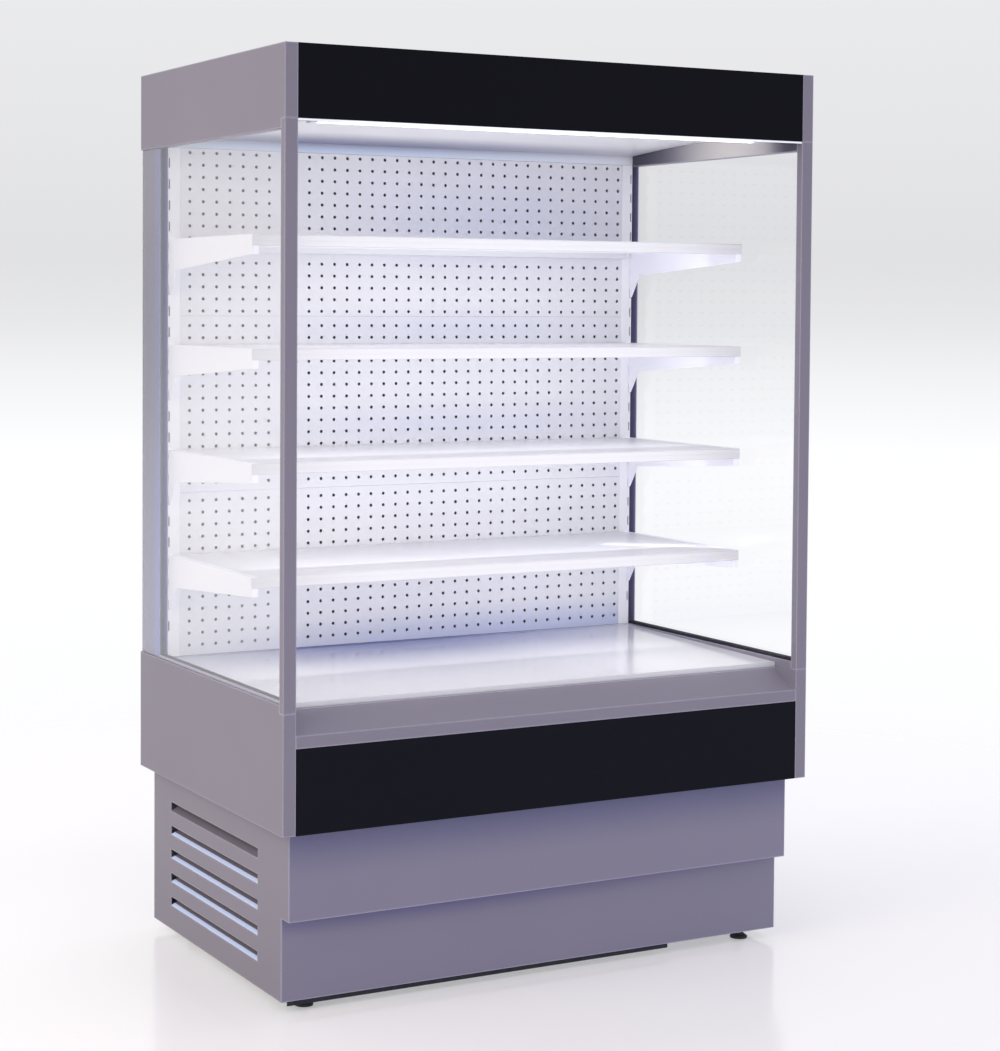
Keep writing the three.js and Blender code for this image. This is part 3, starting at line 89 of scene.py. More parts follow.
# -------------------------------------------------- node helpers
class Nodes:
    """Builds one node material."""

    def __init__(self, name):
        self.material = bpy.data.materials.new(name)
        self.material.use_nodes = True
        self.tree = self.material.node_tree
        self.shader = self.tree.nodes["Principled BSDF"]
        self.place = self.add("ShaderNodeTexCoord").outputs["Object"]

    def add(self, kind, inputs=None, **settings):
        node = self.tree.nodes.new(kind)
        for key, value in settings.items():
            setattr(node, key, value)
        for key, value in (inputs or {}).items():
            self.put(node.inputs[key], value)
        return node

    def put(self, socket, value):
        if isinstance(value, bpy.types.NodeSocket):
            self.tree.links.new(value, socket)
        else:
            socket.default_value = value

    def set(self, **values):
        for key, value in values.items():
            self.put(self.shader.inputs[key.replace("_", " ")], value)

    def along(self, axis):
        """The distance from the middle of the frame along one axis, X, Y or Z."""
        return self.add("ShaderNodeSeparateXYZ", {"Vector": self.place}).outputs[axis]

    def noise(self, scale, detail=2.0, stretch=None):
        place = self.place
        if stretch:
            place = self.add("ShaderNodeMapping", {"Vector": place, "Scale": stretch}).outputs[0]
        inputs = {"Vector": place, "Scale": scale, "Detail": detail}
        return self.add("ShaderNodeTexNoise", inputs).outputs["Fac"]

    def spread(self, value, low, high, from_low=0.3, from_high=0.7):
        """Runs from low to high while the value runs from from_low to from_high."""
        inputs = {"Value": value, "From Min": from_low, "From Max": from_high}
        return self.add("ShaderNodeMapRange", {**inputs, "To Min": low, "To Max": high}).outputs[0]

    def mix(self, factor, first, second, blend="MIX"):
        node = self.add("ShaderNodeMix", data_type="RGBA", blend_type=blend)
        for index, value in ((0, factor), (6, first), (7, second)):
            self.put(node.inputs[index], value)
        return node.outputs[2]

    def math(self, operation, first, second=0.0):
        return self.add("ShaderNodeMath", {0: first, 1: second}, operation=operation).outputs[0]

    def vector(self, operation, first, second=(0.0, 0.0, 0.0)):
        inputs = {0: first, 1: second}
        return self.add("ShaderNodeVectorMath", inputs, operation=operation).outputs

    def rounded(self, radius):
        return self.add("ShaderNodeBevel", {"Radius": radius}, samples=4).outputs[0]

    def edges(self, radius, strength):
        """Strength along the edges of sheet metal and 0 on its faces."""
        face = self.add("ShaderNodeNewGeometry").outputs["True Normal"]
        likeness = self.vector("DOT_PRODUCT", self.rounded(radius), face)["Value"]
        return self.spread(likeness, strength, 0.0, 0.8, 0.97)

    def patch(self, centre, reach):
        """Soft-edged patch: 1 at its centre, 0 beyond its reach, both as x, y, z in metres."""
        away = self.vector("SUBTRACT", self.place, centre)[0]
        away = self.vector("DIVIDE", away, reach)[0]
        inputs = {"Value": self.vector("LENGTH", away)["Value"], "From Min": 1.0, "From Max": 0.0}
        return self.add("ShaderNodeMapRange", inputs, interpolation_type="SMOOTHSTEP").outputs[0]

    def bump(self, height, distance, strength=1.0, normal=None):
        inputs = {"Height": height, "Distance": distance, "Strength": strength}
        if normal:
            inputs["Normal"] = normal
        return self.add("ShaderNodeBump", inputs).outputs[0]

    def let_through(self, factor, color=(1, 1, 1, 1)):
        """Mixes the finished shader with plain transparency."""
        clear = self.add("ShaderNodeBsdfTransparent", {"Color": color})
        shaders = {0: factor, 1: self.shader.outputs[0], 2: clear.outputs[0]}
        blend = self.add("ShaderNodeMixShader", shaders)
        out = next(n for n in self.tree.nodes if n.type == "OUTPUT_MATERIAL")
        self.tree.links.new(blend.outputs[0], out.inputs["Surface"])


def rgba(color, factor=1.0):
    return (*[min(1.0, c * factor) for c in color], 1.0)


# -------------------------------------------------- materials
# Painted highlight along the edges of sheet metal: the width of its rounding and how much paler it
# makes them.
EDGE_WIDTH = 0.0045
EDGE_HIGHLIGHT_GAIN = 2.5
# From where to where, as distances from the middle:
LIT_FACE_LINE = (0.6435, 0.6445)  # a pane's black rubber turns into its pale outer face, a painted lit look
TUBE_FADE = (0.48, 0.548)  # a tube gets dimmer


def powder_coat(name, color, roughness, grain=0.00006, dusty=0.25, edge_highlight=0.0, painted_shading=(), glow=None):
    """Sprayed paint on sheet metal: fine orange peel, slight shifts of tone, dust, and a painted
    highlight along its edges.

    Each painted shade is a tint that multiplies the paint where shade or light falls, the place it
    lies round and how far it reaches; the glow, if given, is painted light.
    """
    m = Nodes(name)
    tone = m.spread(m.noise(2.3, 3.0), 0.0, 1.0)
    dust = m.spread(m.noise(240.0, 3.0), 0.0, dusty, 0.55, 0.75)
    base = m.mix(tone, rgba(color, 0.98), rgba(color, 1.02))
    base = m.mix(dust, base, rgba(color, 1.06))
    # Painted shade and light: tints that multiply the paint round given places.
    for tint, centre, reach in painted_shading:
        base = m.mix(m.patch(centre, reach), base, (*tint, 1), "MULTIPLY")
    # Painted highlight along the edges.
    if edge_highlight:
        base = m.mix(m.edges(EDGE_WIDTH, edge_highlight), base, rgba(color, EDGE_HIGHLIGHT_GAIN))
    peel = m.math("ADD", m.noise(620.0, 2.0), m.math("MULTIPLY", m.noise(2100.0, 1.0), 0.6))
    gloss = m.spread(m.noise(3.0, 2.0), roughness - 0.02, roughness + 0.02)
    m.set(Base_Color=base, Roughness=gloss, Normal=m.bump(peel, grain, 1.0, m.rounded(0.0012)))
    # Painted light: a faint glow, though the part is no lamp.
    if glow:
        m.set(Emission_Color=(*glow, 1), Emission_Strength=1.0)
    return m.material


def gloss_black(name, color):
    """Black lacquer on sheet metal: even and deep, with faint smears and fine dust."""
    m = Nodes(name)
    smear = m.spread(m.noise(3.5, 5.0, (1.0, 1.0, 0.35)), 0.16, 0.3)
    specks = m.spread(m.noise(330.0, 2.0), 0.0, 1.0, 0.72, 0.8)
    base = m.mix(m.math("MULTIPLY", specks, 0.12), rgba(color), (0.05, 0.05, 0.056, 1))
    m.set(Base_Color=base, Roughness=smear, Specular_IOR_Level=0.07)
    m.set(Normal=m.bump(m.noise(38.0, 1.0), 0.00004, 0.6, m.rounded(0.001)))
    return m.material


def zinc(name, color):
    """Zinc-coated sheet: crystal spangle and fine rolling marks."""
    m = Nodes(name)
    cells = m.add("ShaderNodeTexVoronoi", {"Vector": m.place, "Scale": 85.0}).outputs["Distance"]
    spangle = m.spread(cells, 0.0, 1.0, 0.1, 0.75)
    base = m.mix(spangle, rgba(color, 0.85), rgba(color, 1.15))
    marks = m.noise(160.0, 2.0, (0.05, 1.0, 1.0))
    m.set(Base_Color=base, Metallic=0.85, Roughness=m.spread(marks, 0.32, 0.48))
    m.set(Normal=m.bump(marks, 0.00005, 0.7, m.rounded(0.0008)))
    return m.material


def fins(name, color):
    """Pressed aluminium fins set close together, dusty in between."""
    m = Nodes(name)
    inputs = {"Vector": m.place, "Scale": 95.0, "Distortion": 0.15}
    wave = m.add("ShaderNodeTexWave", inputs, bands_direction="X").outputs["Fac"]
    dust = m.spread(m.noise(30.0, 4.0), 0.0, 0.3)
    base = m.mix(wave, rgba(color, 0.45), rgba(color, 1.1))
    m.set(Base_Color=m.mix(dust, base, (0.35, 0.33, 0.3, 1)))
    m.set(Metallic=0.8, Roughness=m.spread(m.noise(60.0), 0.3, 0.5), Normal=m.bump(wave, 0.0006))
    return m.material


def moulded(name, color, roughness):
    """Moulded plastic with a fine spark texture."""
    m = Nodes(name)
    tone = m.spread(m.noise(26.0, 4.0), 0.0, 1.0)
    gloss = m.spread(m.noise(14.0), roughness - 0.05, roughness + 0.07)
    m.set(Base_Color=m.mix(tone, rgba(color, 0.85), rgba(color, 1.25)), Roughness=gloss)
    m.set(Normal=m.bump(m.noise(900.0, 1.0), 0.00008, 1.0, m.rounded(0.0008)))
    return m.material


def rubber(name, color, painted_lit_color=None):
    """Black rubber: matt, with a bloom of lighter dust, and if a lit colour is given, painted pale
    on its face against the pane.
    """
    m = Nodes(name)
    bloom = m.spread(m.noise(120.0, 5.0), 0.0, 0.5, 0.45, 0.8)
    base = m.mix(bloom, rgba(color), rgba(color, 3.0))
    # Painted light: the face against the pane is painted pale, as lit.
    if painted_lit_color:
        lit_face = m.spread(m.math("ABSOLUTE", m.along("X")), 0.0, 1.0, *LIT_FACE_LINE)
        base = m.mix(lit_face, base, m.mix(m.noise(180.0, 3.0), rgba(painted_lit_color, 0.97), rgba(painted_lit_color, 1.03)))
    m.set(Base_Color=base, Roughness=m.spread(m.noise(40.0), 0.6, 0.8))
    m.set(Normal=m.bump(m.noise(700.0, 1.0), 0.0001))
    return m.material


def glass(name):
    """Clear safety glass: a thin pane with faint wiping marks, which lets plain light through."""
    m = Nodes(name)
    wipes = m.spread(m.noise(2.2, 6.0, (1.0, 1.0, 0.4)), 0.0, 0.03)
    m.set(Base_Color=m.mix(m.noise(1.1), (0.99, 0.993, 0.997, 1), (1, 1, 1, 1)), Roughness=wipes)
    m.set(Transmission_Weight=1.0, IOR=1.45, Specular_IOR_Level=0.06)
    path = m.add("ShaderNodeLightPath").outputs
    either = m.math("MAXIMUM", path["Is Shadow Ray"], path["Is Diffuse Ray"])
    m.let_through(either, (0.985, 0.99, 1.0, 1))
    return m.material


def lit_diffuser(name, strength):
    """Frosted tube lit from inside, a little dimmer towards its ends."""
    m = Nodes(name)
    fade = m.spread(m.math("ABSOLUTE", m.along("X")), 1.0, 0.55, *TUBE_FADE)
    grain = m.spread(m.noise(40.0, 2.0), 0.96, 1.0)
    m.set(Base_Color=m.mix(grain, (0.88, 0.9, 0.93, 1), (0.95, 0.96, 1.0, 1)), Roughness=0.35)
    m.set(Emission_Color=(0.86, 0.92, 1.0, 1), Emission_Strength=m.math("MULTIPLY", fade, strength))
    return m.material


GREY = (0.255, 0.236, 0.3)
WHITE = (0.85, 0.848, 0.875)
BLACK_RUBBER = (0.009, 0.0095, 0.017)
SMOOTH = {"grain": 0.00001, "dusty": 0.05}
MATERIALS = {
    # The grey paint carries a painted highlight along its edges.
    "grey_paint": powder_coat("grey_powder_coat", GREY, 0.42, edge_highlight=0.8),
    "black_gloss": gloss_black("black_lacquer", (0.0045, 0.0048, 0.0085)),
    "white_paint": powder_coat("white_powder_coat", WHITE, 0.36, **SMOOTH),
    "zinc_sheet": zinc("zinc_sheet", (0.5, 0.51, 0.53)),
    "foam_skin": powder_coat("foam_skin", (0.6, 0.6, 0.64), 0.45),
    "clear_glass": glass("safety_glass"),
    "seal_rubber": rubber("seal_rubber", BLACK_RUBBER),
    "black_plastic": moulded("black_plastic", (0.018, 0.018, 0.02), 0.5),
    "lamp_diffuser": lit_diffuser("lamp_diffuser", 3.0),
    "coil_metal": fins("fin_pack", (0.62, 0.63, 0.64)),
    "black_enamel": powder_coat("black_enamel", (0.016, 0.016, 0.018), 0.35),
}

# Reaches of the painted shade and light below.
FACE, UPRIGHT_FACE = 0.004, 0.0016  # stay on a single face
LONG, LONGER = 3.0, 5.0  # pass the ends of a piece

# Faces that take painted shade and light, as x.
BRACKET_X = -0.6235  # outside of the left brackets
UPRIGHT_X = -0.6262  # outside of the left upright
WALL_LEFT, WALL_RIGHT = -0.6457, 0.6437  # sides of the back wall
END_X = 0.6265  # inside of the right upper end panel

# Back lining: painted shade in soft cool patches, deepest low on the right above the deck and in
# the top bay, with faint bands across the middle bays.
LINING = powder_coat(
    "lining_coat_painted_shade", WHITE, 0.36, **SMOOTH,
    painted_shading=(
        ((0.82, 0.84, 0.94), (0.2, back(0.69), 1.66), (0.75, 0.4, 0.2)),
        ((0.66, 0.71, 0.92), (0.45, back(0.69), 0.645), (1.4, 0.4, 0.1)),
        ((0.88, 0.9, 0.97), (0.1, back(0.69), 1.17), (0.8, 0.4, 0.08)),
        ((0.88, 0.9, 0.97), (0.1, back(0.69), 1.4), (0.8, 0.4, 0.08)),
    ),
)
# Deck: painted shade, deep blue towards its rear, where the shelves above shade it; the rear trim
# takes the same.
DECK = powder_coat(
    "deck_coat_painted_shade", WHITE, 0.15, **SMOOTH,
    painted_shading=(((0.1, 0.14, 0.46), (-0.1, back(0.78), 0.648), (0.95, 0.44, 0.4)),),
)
# Ceiling: a lighter copy of the white paint, painted light, with painted shade darkening it towards
# its rear fold and a painted cool reflection in the band below that.
CEILING = powder_coat(
    "ceiling_coat_painted_shade", (0.95, 0.947, 0.95), 0.4, **SMOOTH,
    painted_shading=(
        ((0.15, 0.15, 0.31), (-0.2, back(0.7), 1.845), (1.7, 0.2, 0.03)),
        ((0.7, 0.8, 0.96), (-0.2, back(0.69), 1.82), (1.2, 0.3, 0.024)),
    ),
)
RAIL = powder_coat("rail_plastic", (0.77, 0.76, 0.775), 0.4, **SMOOTH)
# Louvre lips: pale blue with a faint glow, painted light, the lit upper faces of the blades with a
# painted reflection of the sky.
SKYLIT_LOUVRE_LIP = powder_coat(
    "louvre_lip_painted_skylight", (0.72, 0.84, 1.0), 0.35, **SMOOTH, glow=(0.13, 0.15, 0.29)
)
# Brackets: a cool painted tint on the outer face of the left ones, against the warm key light, and
# a faint glow: painted light.
BRACKET = powder_coat(
    "bracket_coat_painted_light", (0.985, 0.985, 1.0), 0.36, **SMOOTH,
    painted_shading=(((0.975, 0.985, 1.0), (BRACKET_X, 0.0, 1.2), (FACE, LONG, LONG)),),
    glow=(0.035, 0.04, 0.09),
)
# Uprights: a deep blue painted reflection on the outer face of the left one, beside the side pane.
UPRIGHT = powder_coat(
    "upright_coat_painted_reflection", (0.96, 0.957, 0.98), 0.36, **SMOOTH,
    painted_shading=(((0.26, 0.3, 0.64), (UPRIGHT_X, 0.0, 1.2), (UPRIGHT_FACE, LONG, LONG)),),
)
# Back wall: a painted cool reflection over its left side, painted shade on it high up and darker
# round the middle, a painted cool shade on the right side near its front edge, a strong painted
# blue reflection on the strip behind the left pane, and a painted highlight along its edges.
BACK_WALL = powder_coat(
    "back_wall_coat_painted_shade", GREY, 0.42, edge_highlight=0.5,
    painted_shading=(
        ((0.79, 0.84, 1.08), (WALL_LEFT, back(0.75), 1.2), (FACE, LONGER, LONGER)),
        ((0.71, 0.63, 0.64), (WALL_LEFT, back(0.75), 1.7), (FACE, LONGER, 0.75)),
        ((0.53, 0.52, 0.61), (WALL_LEFT, back(0.75), 1.25), (FACE, LONGER, 0.5)),
        ((0.8, 0.85, 1.2), (WALL_RIGHT, back(0.7), 1.2), (FACE, 0.04, LONG)),
        ((1.0, 1.25, 1.9), (-0.637, back(0.7055), 1.2), (0.04, 0.03, LONG)),
    ),
)
# Kick panels: the grey paint made bluer, a painted cool light on the front; painted shadow at the
# top of the upper panel under the sill and at the top of the lower one under the upper panel; a
# painted highlight along the edges.
KICK = powder_coat(
    "kick_coat_painted_shade", (0.262, 0.245, 0.335), 0.42, edge_highlight=0.8,
    painted_shading=(
        ((0.52, 0.57, 0.8), (0.0, back(0.034), 0.392), (LONG, 1.0, 0.125)),
        ((0.5, 0.52, 0.9), (-0.25, back(0.07), 0.206), (1.1, 0.028, 0.06)),
    ),
)
# Right upper end panel: on its inside face painted shade towards the rear and the front, and a
# painted highlight, a bright reflection, in between; a painted highlight along its edges.
END_PANEL = powder_coat(
    "end_panel_coat_painted_shade", GREY, 0.42, edge_highlight=0.8,
    painted_shading=(
        ((0.14, 0.14, 0.18), (END_X, back(0.7), 1.82), (FACE, 0.3, 0.3)),
        ((3.1, 3.2, 2.4), (END_X, back(0.28), 1.84), (FACE, 0.3, 0.3)),
        ((0.25, 0.25, 0.35), (END_X, back(0.05), 1.82), (FACE, 0.1, 0.3)),
    ),
)
# Glass seal: black, with its face against the pane painted pale blue-grey as lit: painted light.
SEAL = rubber("glass_seal", BLACK_RUBBER, (0.45, 0.44, 0.59))
# Lower front panel: a lighter, bluer copy of the black lacquer, painted light.
LIT_LOWER_BLACK = gloss_black("lower_black_lacquer_painted_light", (0.0062, 0.0064, 0.0122))
OWN_PAINT = {
    "deck_pan": DECK,
    "ceiling_panel": CEILING,
    "insulated_back": BACK_WALL,
    "left_glass_seal": SEAL,
    "right_glass_seal": SEAL,
    "left_slotted_upright": UPRIGHT,
    "right_slotted_upright": UPRIGHT,
    "upper_kick_panel": KICK,
    "lower_kick_panel": KICK,
    "right_upper_end_panel": END_PANEL,
    "lower_front_panel": LIT_LOWER_BLACK,
    "lower_back_panel": LINING,
    "middle_back_panel": LINING,
    "upper_back_panel": LINING,
    **{f"{side}_bracket_{i}": BRACKET for side in ("left", "right") for i in range(1, 5)},
}


def dress_nodes():
    for name, node in frame["nodes"].items():
        node.data.materials.clear()
        node.data.materials.append(OWN_PAINT.get(name, MATERIALS[SLOT_OF[name]]))


# -------------------------------------------------- mesh helpers
SAME_PLACE = 1e-6  # vertices closer than this are one
BOX_FACES = ((0, 1, 3, 2), (4, 6, 7, 5), (0, 4, 5, 1), (2, 3, 7, 6), (0, 2, 6, 4), (1, 5, 7, 3))


def add_piece(name, mesh, body, slot, material=None):
    piece = bpy.data.objects.new(name, mesh)
    bpy.context.scene.collection.objects.link(piece)
    mesh.materials.append(material or MATERIALS[slot])
    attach(piece, body)
    return piece


def finish_mesh(bm, name, smooth=False):
    bmesh.ops.remove_doubles(bm, verts=bm.verts, dist=SAME_PLACE)
    bmesh.ops.recalc_face_normals(bm, faces=bm.faces)
    mesh = bpy.data.meshes.new(name)
    bm.to_mesh(mesh)
    bm.free()
    for face in mesh.polygons:
        face.use_smooth = smooth
    return mesh


def add_box(bm, low, high):
    xs, ys, zs = zip(low, high)
    corners = [bm.verts.new((x, y, z)) for x in xs for y in ys for z in zs]
    for face in BOX_FACES:
        bm.faces.new([corners[i] for i in face])


def join_rings(bm, first, second):
    """Faces between two rows of vertices that both run once round a shape."""
    for i in range(len(first)):
        after = (i + 1) % len(first)
        bm.faces.new((first[i], first[after], second[after], second[i]))


def strip_mesh(name, profile, origin, span, axis=0):
    """Straight strip: a closed profile round an origin, run along x (axis 0) or y (axis 1)."""
    bm = bmesh.new()
    rows = []
    for end in span:
        places = [(origin[0] + a, origin[1] + b) for a, b in profile]
        rows.append([bm.verts.new((end, a, b) if axis == 0 else (a, end, b)) for a, b in places])
    join_rings(bm, *rows)
    for row in rows:
        bm.faces.new(row)
    return finish_mesh(bm, name)


# -------------------------------------------------- perforated lining
PANELS = (  # node, height of its first row of holes, rows of holes
    ("upper_back_panel", 1.44125, 14),
    ("middle_back_panel", 1.047, 14),
    ("lower_back_panel", 0.6735, 13),
)
HOLE_COLUMNS = 36
HOLE_PITCH_Z = 0.02775
HOLE_RADIUS = 0.0039
HOLE_SIDES = 8
FIRST_CORNER = -135  # degrees, the lower left one of the cell and of the hole
HOLE_SHIFT = 0.007  # of the first column from the middle of its cell
HOLE_SHIFT_LOSS = 0.003  # by the last column
SHEET = 0.002
FLANGE = 0.015
PANEL_GAP = 0.0003


def perforated_panel(node, first_row, rows):
    """Lining panel with real holes: eight faces round each hole, eight more through the sheet."""
    low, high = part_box(node)
    low.x, high.x = low.x - PANEL_GAP, high.x + PANEL_GAP
    bm = bmesh.new()
    pitch = (high.x - low.x) / HOLE_COLUMNS
    centres = [first_row + i * HOLE_PITCH_Z for i in range(rows)]
    edges = [low.z] + [(a + b) / 2 for a, b in zip(centres, centres[1:])] + [high.z]
    for row, zc in enumerate(centres):
        for column in range(HOLE_COLUMNS):
            x0 = low.x + column * pitch
            shift = HOLE_SHIFT - HOLE_SHIFT_LOSS * column / (HOLE_COLUMNS - 1)
            xs = (x0, x0 + pitch / 2 + shift, x0 + pitch)
            cell_with_hole(bm, xs, (edges[row], zc, edges[row + 1]), low.y)
    for x in (low.x, high.x - SHEET):
        add_box(bm, (x, low.y + SHEET / 2, low.z), (x + SHEET, low.y + FLANGE, high.z))
    for z in (low.z, high.z - SHEET):
        add_box(bm, (low.x, low.y + SHEET / 2, z), (high.x, low.y + FLANGE, z + SHEET))
    piece = add_piece("perforated_" + node, finish_mesh(bm, node), "cabinet", "white_paint", LINING)
    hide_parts(node)


def cell_with_hole(bm, xs, zs, y):
    order = ((0, 0), (1, 0), (2, 0), (2, 1), (2, 2), (1, 2), (0, 2), (0, 1))
    outer = [bm.verts.new((xs[i], y, zs[k])) for i, k in order]
    rims = []
    for depth in (0, SHEET):
        rim = []
        for step in range(HOLE_SIDES):
            turn = math.radians(FIRST_CORNER + 360 / HOLE_SIDES * step)
            x, z = xs[1] + HOLE_RADIUS * math.cos(turn), zs[1] + HOLE_RADIUS * math.sin(turn)
            rim.append(bm.verts.new((x, y + depth, z)))
        rims.append(rim)
    front, rear = rims
    for step in range(HOLE_SIDES):
        after = (step + 1) % HOLE_SIDES
        bm.faces.new((outer[step], outer[after], front[after], front[step]))
        bm.faces.new((front[step], front[after], rear[after], rear[step]))


# -------------------------------------------------- shelf edges
SHELVES = 4
BRACKET_NOSE = 0.015  # the rail also covers the front of both brackets
RAIL_DROP = 0.0004
RAIL_PROFILE = (
    (-0.0002, -0.0008), (-0.0014, -0.001), (-0.0021, -0.0018), (-0.0023, -0.011),
    (-0.0019, -0.0116), (-0.0019, -0.0122), (-0.0023, -0.0128), (-0.0024, -0.0218),
    (-0.002, -0.0232), (-0.0011, -0.0236), (-0.0002, -0.0236),
)


def price_rail(number):
    """Snap-on rail on the shelf's lip, with the fold line along its middle."""
    low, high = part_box(f"shelf_tray_{number}")
    reach = high.x + BRACKET_NOSE
    mesh = strip_mesh("price_rail", RAIL_PROFILE, (low.y, high.z - RAIL_DROP), (-reach, reach))
    add_piece(f"price_rail_{number}", mesh, f"shelf_{number}_tray", "white_paint", RAIL)


# -------------------------------------------------- trims, and a dark strip of painted shadow
BEAD_GAP = 0.0002
BEAD_INSET = 0.0005
BEAD_STRENGTH = 0.55
BEAD_PROFILE = (
    (0.001, 0), (0.0005, -0.0012), (0.001, -0.0036), (0.003, -0.004), (0.0045, -0.003), (0.0045, 0),
)
DECK_TRIM_INSET = 0.001
DECK_TRIM_PROFILE = (
    (-0.0035, 0.0002), (-0.0023, 0.0013), (0.0035, 0.0017), (0.0035, -0.008), (0.0002, -0.008),
    (0.0002, 0.0002),
)
# A dark strip standing in for the shadow under the lower kick panel: painted shadow.
SHADOW_STRIP_GAP = 0.0004
SHADOW_STRIP_INSET = 0.014
SHADOW_STRIP_END = 0.33
SHADOW_STRIP_PROFILE = (
    (0.0008, 0), (0.0008, -0.0085), (0.002, -0.0095), (0.0032, -0.0085), (0.0032, 0),
)


def fascia_edge():
    """Lit white bead along the foot of the canopy fascia, from post to post."""
    low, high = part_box("canopy_fascia")
    span = (low.x + BEAD_INSET, high.x - BEAD_INSET)
    mesh = strip_mesh("fascia_edge", BEAD_PROFILE, (low.y, low.z - BEAD_GAP), span)
    bead = lit_diffuser("edge_bead", BEAD_STRENGTH)
    add_piece("fascia_edge", mesh, "cabinet", "lamp_diffuser", bead)


def deck_trim():
    """White push-on edge over the deck's rear fold, just short of the lining."""
    low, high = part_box("deck_pan")
    span = (low.x + DECK_TRIM_INSET, high.x - DECK_TRIM_INSET)
    mesh = strip_mesh("deck_trim", DECK_TRIM_PROFILE, (high.y, high.z), span)
    add_piece("deck_trim", mesh, "deck", "white_paint", DECK)


def contact_shadow_strip():
    """Dark strip under the foot of the lower kick panel, standing in for the shadow beneath it:
    painted shadow, as long as the photograph shows it.
    """
    low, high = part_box("lower_kick_panel")
    origin = (low.y, low.z - SHADOW_STRIP_GAP)
    span = (low.x + SHADOW_STRIP_INSET, SHADOW_STRIP_END)
    mesh = strip_mesh("contact_shadow_strip", SHADOW_STRIP_PROFILE, origin, span)
    add_piece("contact_shadow_strip", mesh, "cabinet", "seal_rubber")


# -------------------------------------------------- louvres of the two base covers
LOUVRE_COUNT = 5
LOUVRE_BOTTOM = 0.078
LOUVRE_PITCH = 0.0547
LOUVRE_START = 0.191
LOUVRE_REAR_MARGIN = 0.105
LOUVRE_SLOPE = 0.0095 / 0.02  # rise over depth
LIP_OUTER, LIP_INNER = 0.0006, 0.0092  # from the cover's face inwards
LIP_GAP = 0.0001
LIP_END_GAP = 0.001
LIP_PROFILE = (  # inwards, up
    (LIP_OUTER, LIP_OUTER * LOUVRE_SLOPE + LIP_GAP),
    (LIP_INNER, LIP_INNER * LOUVRE_SLOPE + LIP_GAP),
    (LIP_INNER, LIP_INNER * LOUVRE_SLOPE + 0.0009),
    (LIP_OUTER, 0.0016),
)


def louvre_lips():
    """Lip along the foot of every louvre opening but the top one, in the two base covers: a thin
    strip that carries painted light, pale blue and glowing; the top one is left out because the
    overhang shades it.
    """
    for side in ("left", "right"):
        low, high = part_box(f"{side}_base_cover")
        face, inward = (low.x, 1) if side == "left" else (high.x, -1)
        profile = [(inward * depth, rise) for depth, rise in LIP_PROFILE]
        span = (back(LOUVRE_START) + LIP_END_GAP, high.y - LOUVRE_REAR_MARGIN - LIP_END_GAP)
        for i in range(LOUVRE_COUNT - 1):
            origin = (face, LOUVRE_BOTTOM + i * LOUVRE_PITCH)
            mesh = strip_mesh("louvre_lip", profile, origin, span, 1)
            add_piece(f"{side}_louvre_lip_{i + 1}", mesh, "cabinet", "grey_paint", SKYLIT_LOUVRE_LIP)


# -------------------------------------------------- small fasteners on the hidden sides
SCREW_RADIUS = 0.0042
SCREW_HEIGHT = 0.0022
SCREW_SIDES = 16
SCREW_RINGS = ((1.0, 0.0), (0.97, 0.35), (0.78, 0.75), (0.45, 0.97))  # shares of radius and height
CROSS_DEPTH = 0.35  # share of the height, below the last ring
CROSS_WIDTHS = (0.9, 0.35)  # in its arms and between them, shares of the last ring
SCREWS_IN_ROW = 7
GRILLE_SCREW_INSET = 0.018
GRILLE_ROW_MARGIN = 0.03
WALL_SCREW_X = 0.6
WALL_ROW_MARGIN = 0.05
WALL_SCREW_SINK = 0.0022


def screw(bm, centre, out):
    """Domed cross-head screw standing on a face whose outward direction is out."""
    centre, out = Vector(centre), Vector(out)
    side = out.orthogonal().normalized()
    other = out.cross(side)
    turns = [k * math.tau / SCREW_SIDES for k in range(SCREW_SIDES)]
    spokes = [side * math.cos(turn) + other * math.sin(turn) for turn in turns]
    rings = []
    for width, rise in SCREW_RINGS:
        middle = centre + out * SCREW_HEIGHT * rise
        rings.append([bm.verts.new(middle + spoke * SCREW_RADIUS * width) for spoke in spokes])
    for outer, inner in zip(rings, rings[1:]):
        join_rings(bm, outer, inner)
    middle = centre + out * SCREW_HEIGHT * (SCREW_RINGS[-1][1] - CROSS_DEPTH)
    cross = []
    for k, vertex in enumerate(rings[-1]):
        sunk = vertex.co - out * SCREW_HEIGHT * CROSS_DEPTH
        cross.append(bm.verts.new(middle + (sunk - middle) * CROSS_WIDTHS[(k // 2) % 2]))
    join_rings(bm, rings[-1], cross)
    bm.faces.new(cross)


def screw_row(low, high, margin):
    """Places of a row of screws between two ends."""
    step = (high - low - 2 * margin) / (SCREWS_IN_ROW - 1)
    return [low + margin + i * step for i in range(SCREWS_IN_ROW)]


def rear_screws():
    bm = bmesh.new()
    low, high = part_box("rear_base_grille")
    for z in (low.z + GRILLE_SCREW_INSET, high.z - GRILLE_SCREW_INSET):
        for x in screw_row(low.x, high.x, GRILLE_ROW_MARGIN):
            screw(bm, (x, high.y, z), (0, 1, 0))
    low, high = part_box("insulated_back")
    for x in (-WALL_SCREW_X, WALL_SCREW_X):
        for z in screw_row(low.z, high.z, WALL_ROW_MARGIN):
            screw(bm, (x, high.y - WALL_SCREW_SINK, z), (0, 1, 0))
    add_piece("rear_screws", finish_mesh(bm, "rear_screws", True), "cabinet", "zinc_sheet")


# -------------------------------------------------- stage and light
FLOOR_CLEAR, FLOOR_GONE = 1.9, 3.6  # from the middle, where the floor starts and ends its fade
FLOOR_MARGIN = 0.2
# The floor's glow, seen by the camera and in reflections, grows towards the rear: weaker in front
# of the object, a painted shade there.
FLOOR_GLOW = (0.21, 0.33)
FLOOR_GLOW_SPAN = (-1.5, 0.7)  # as y

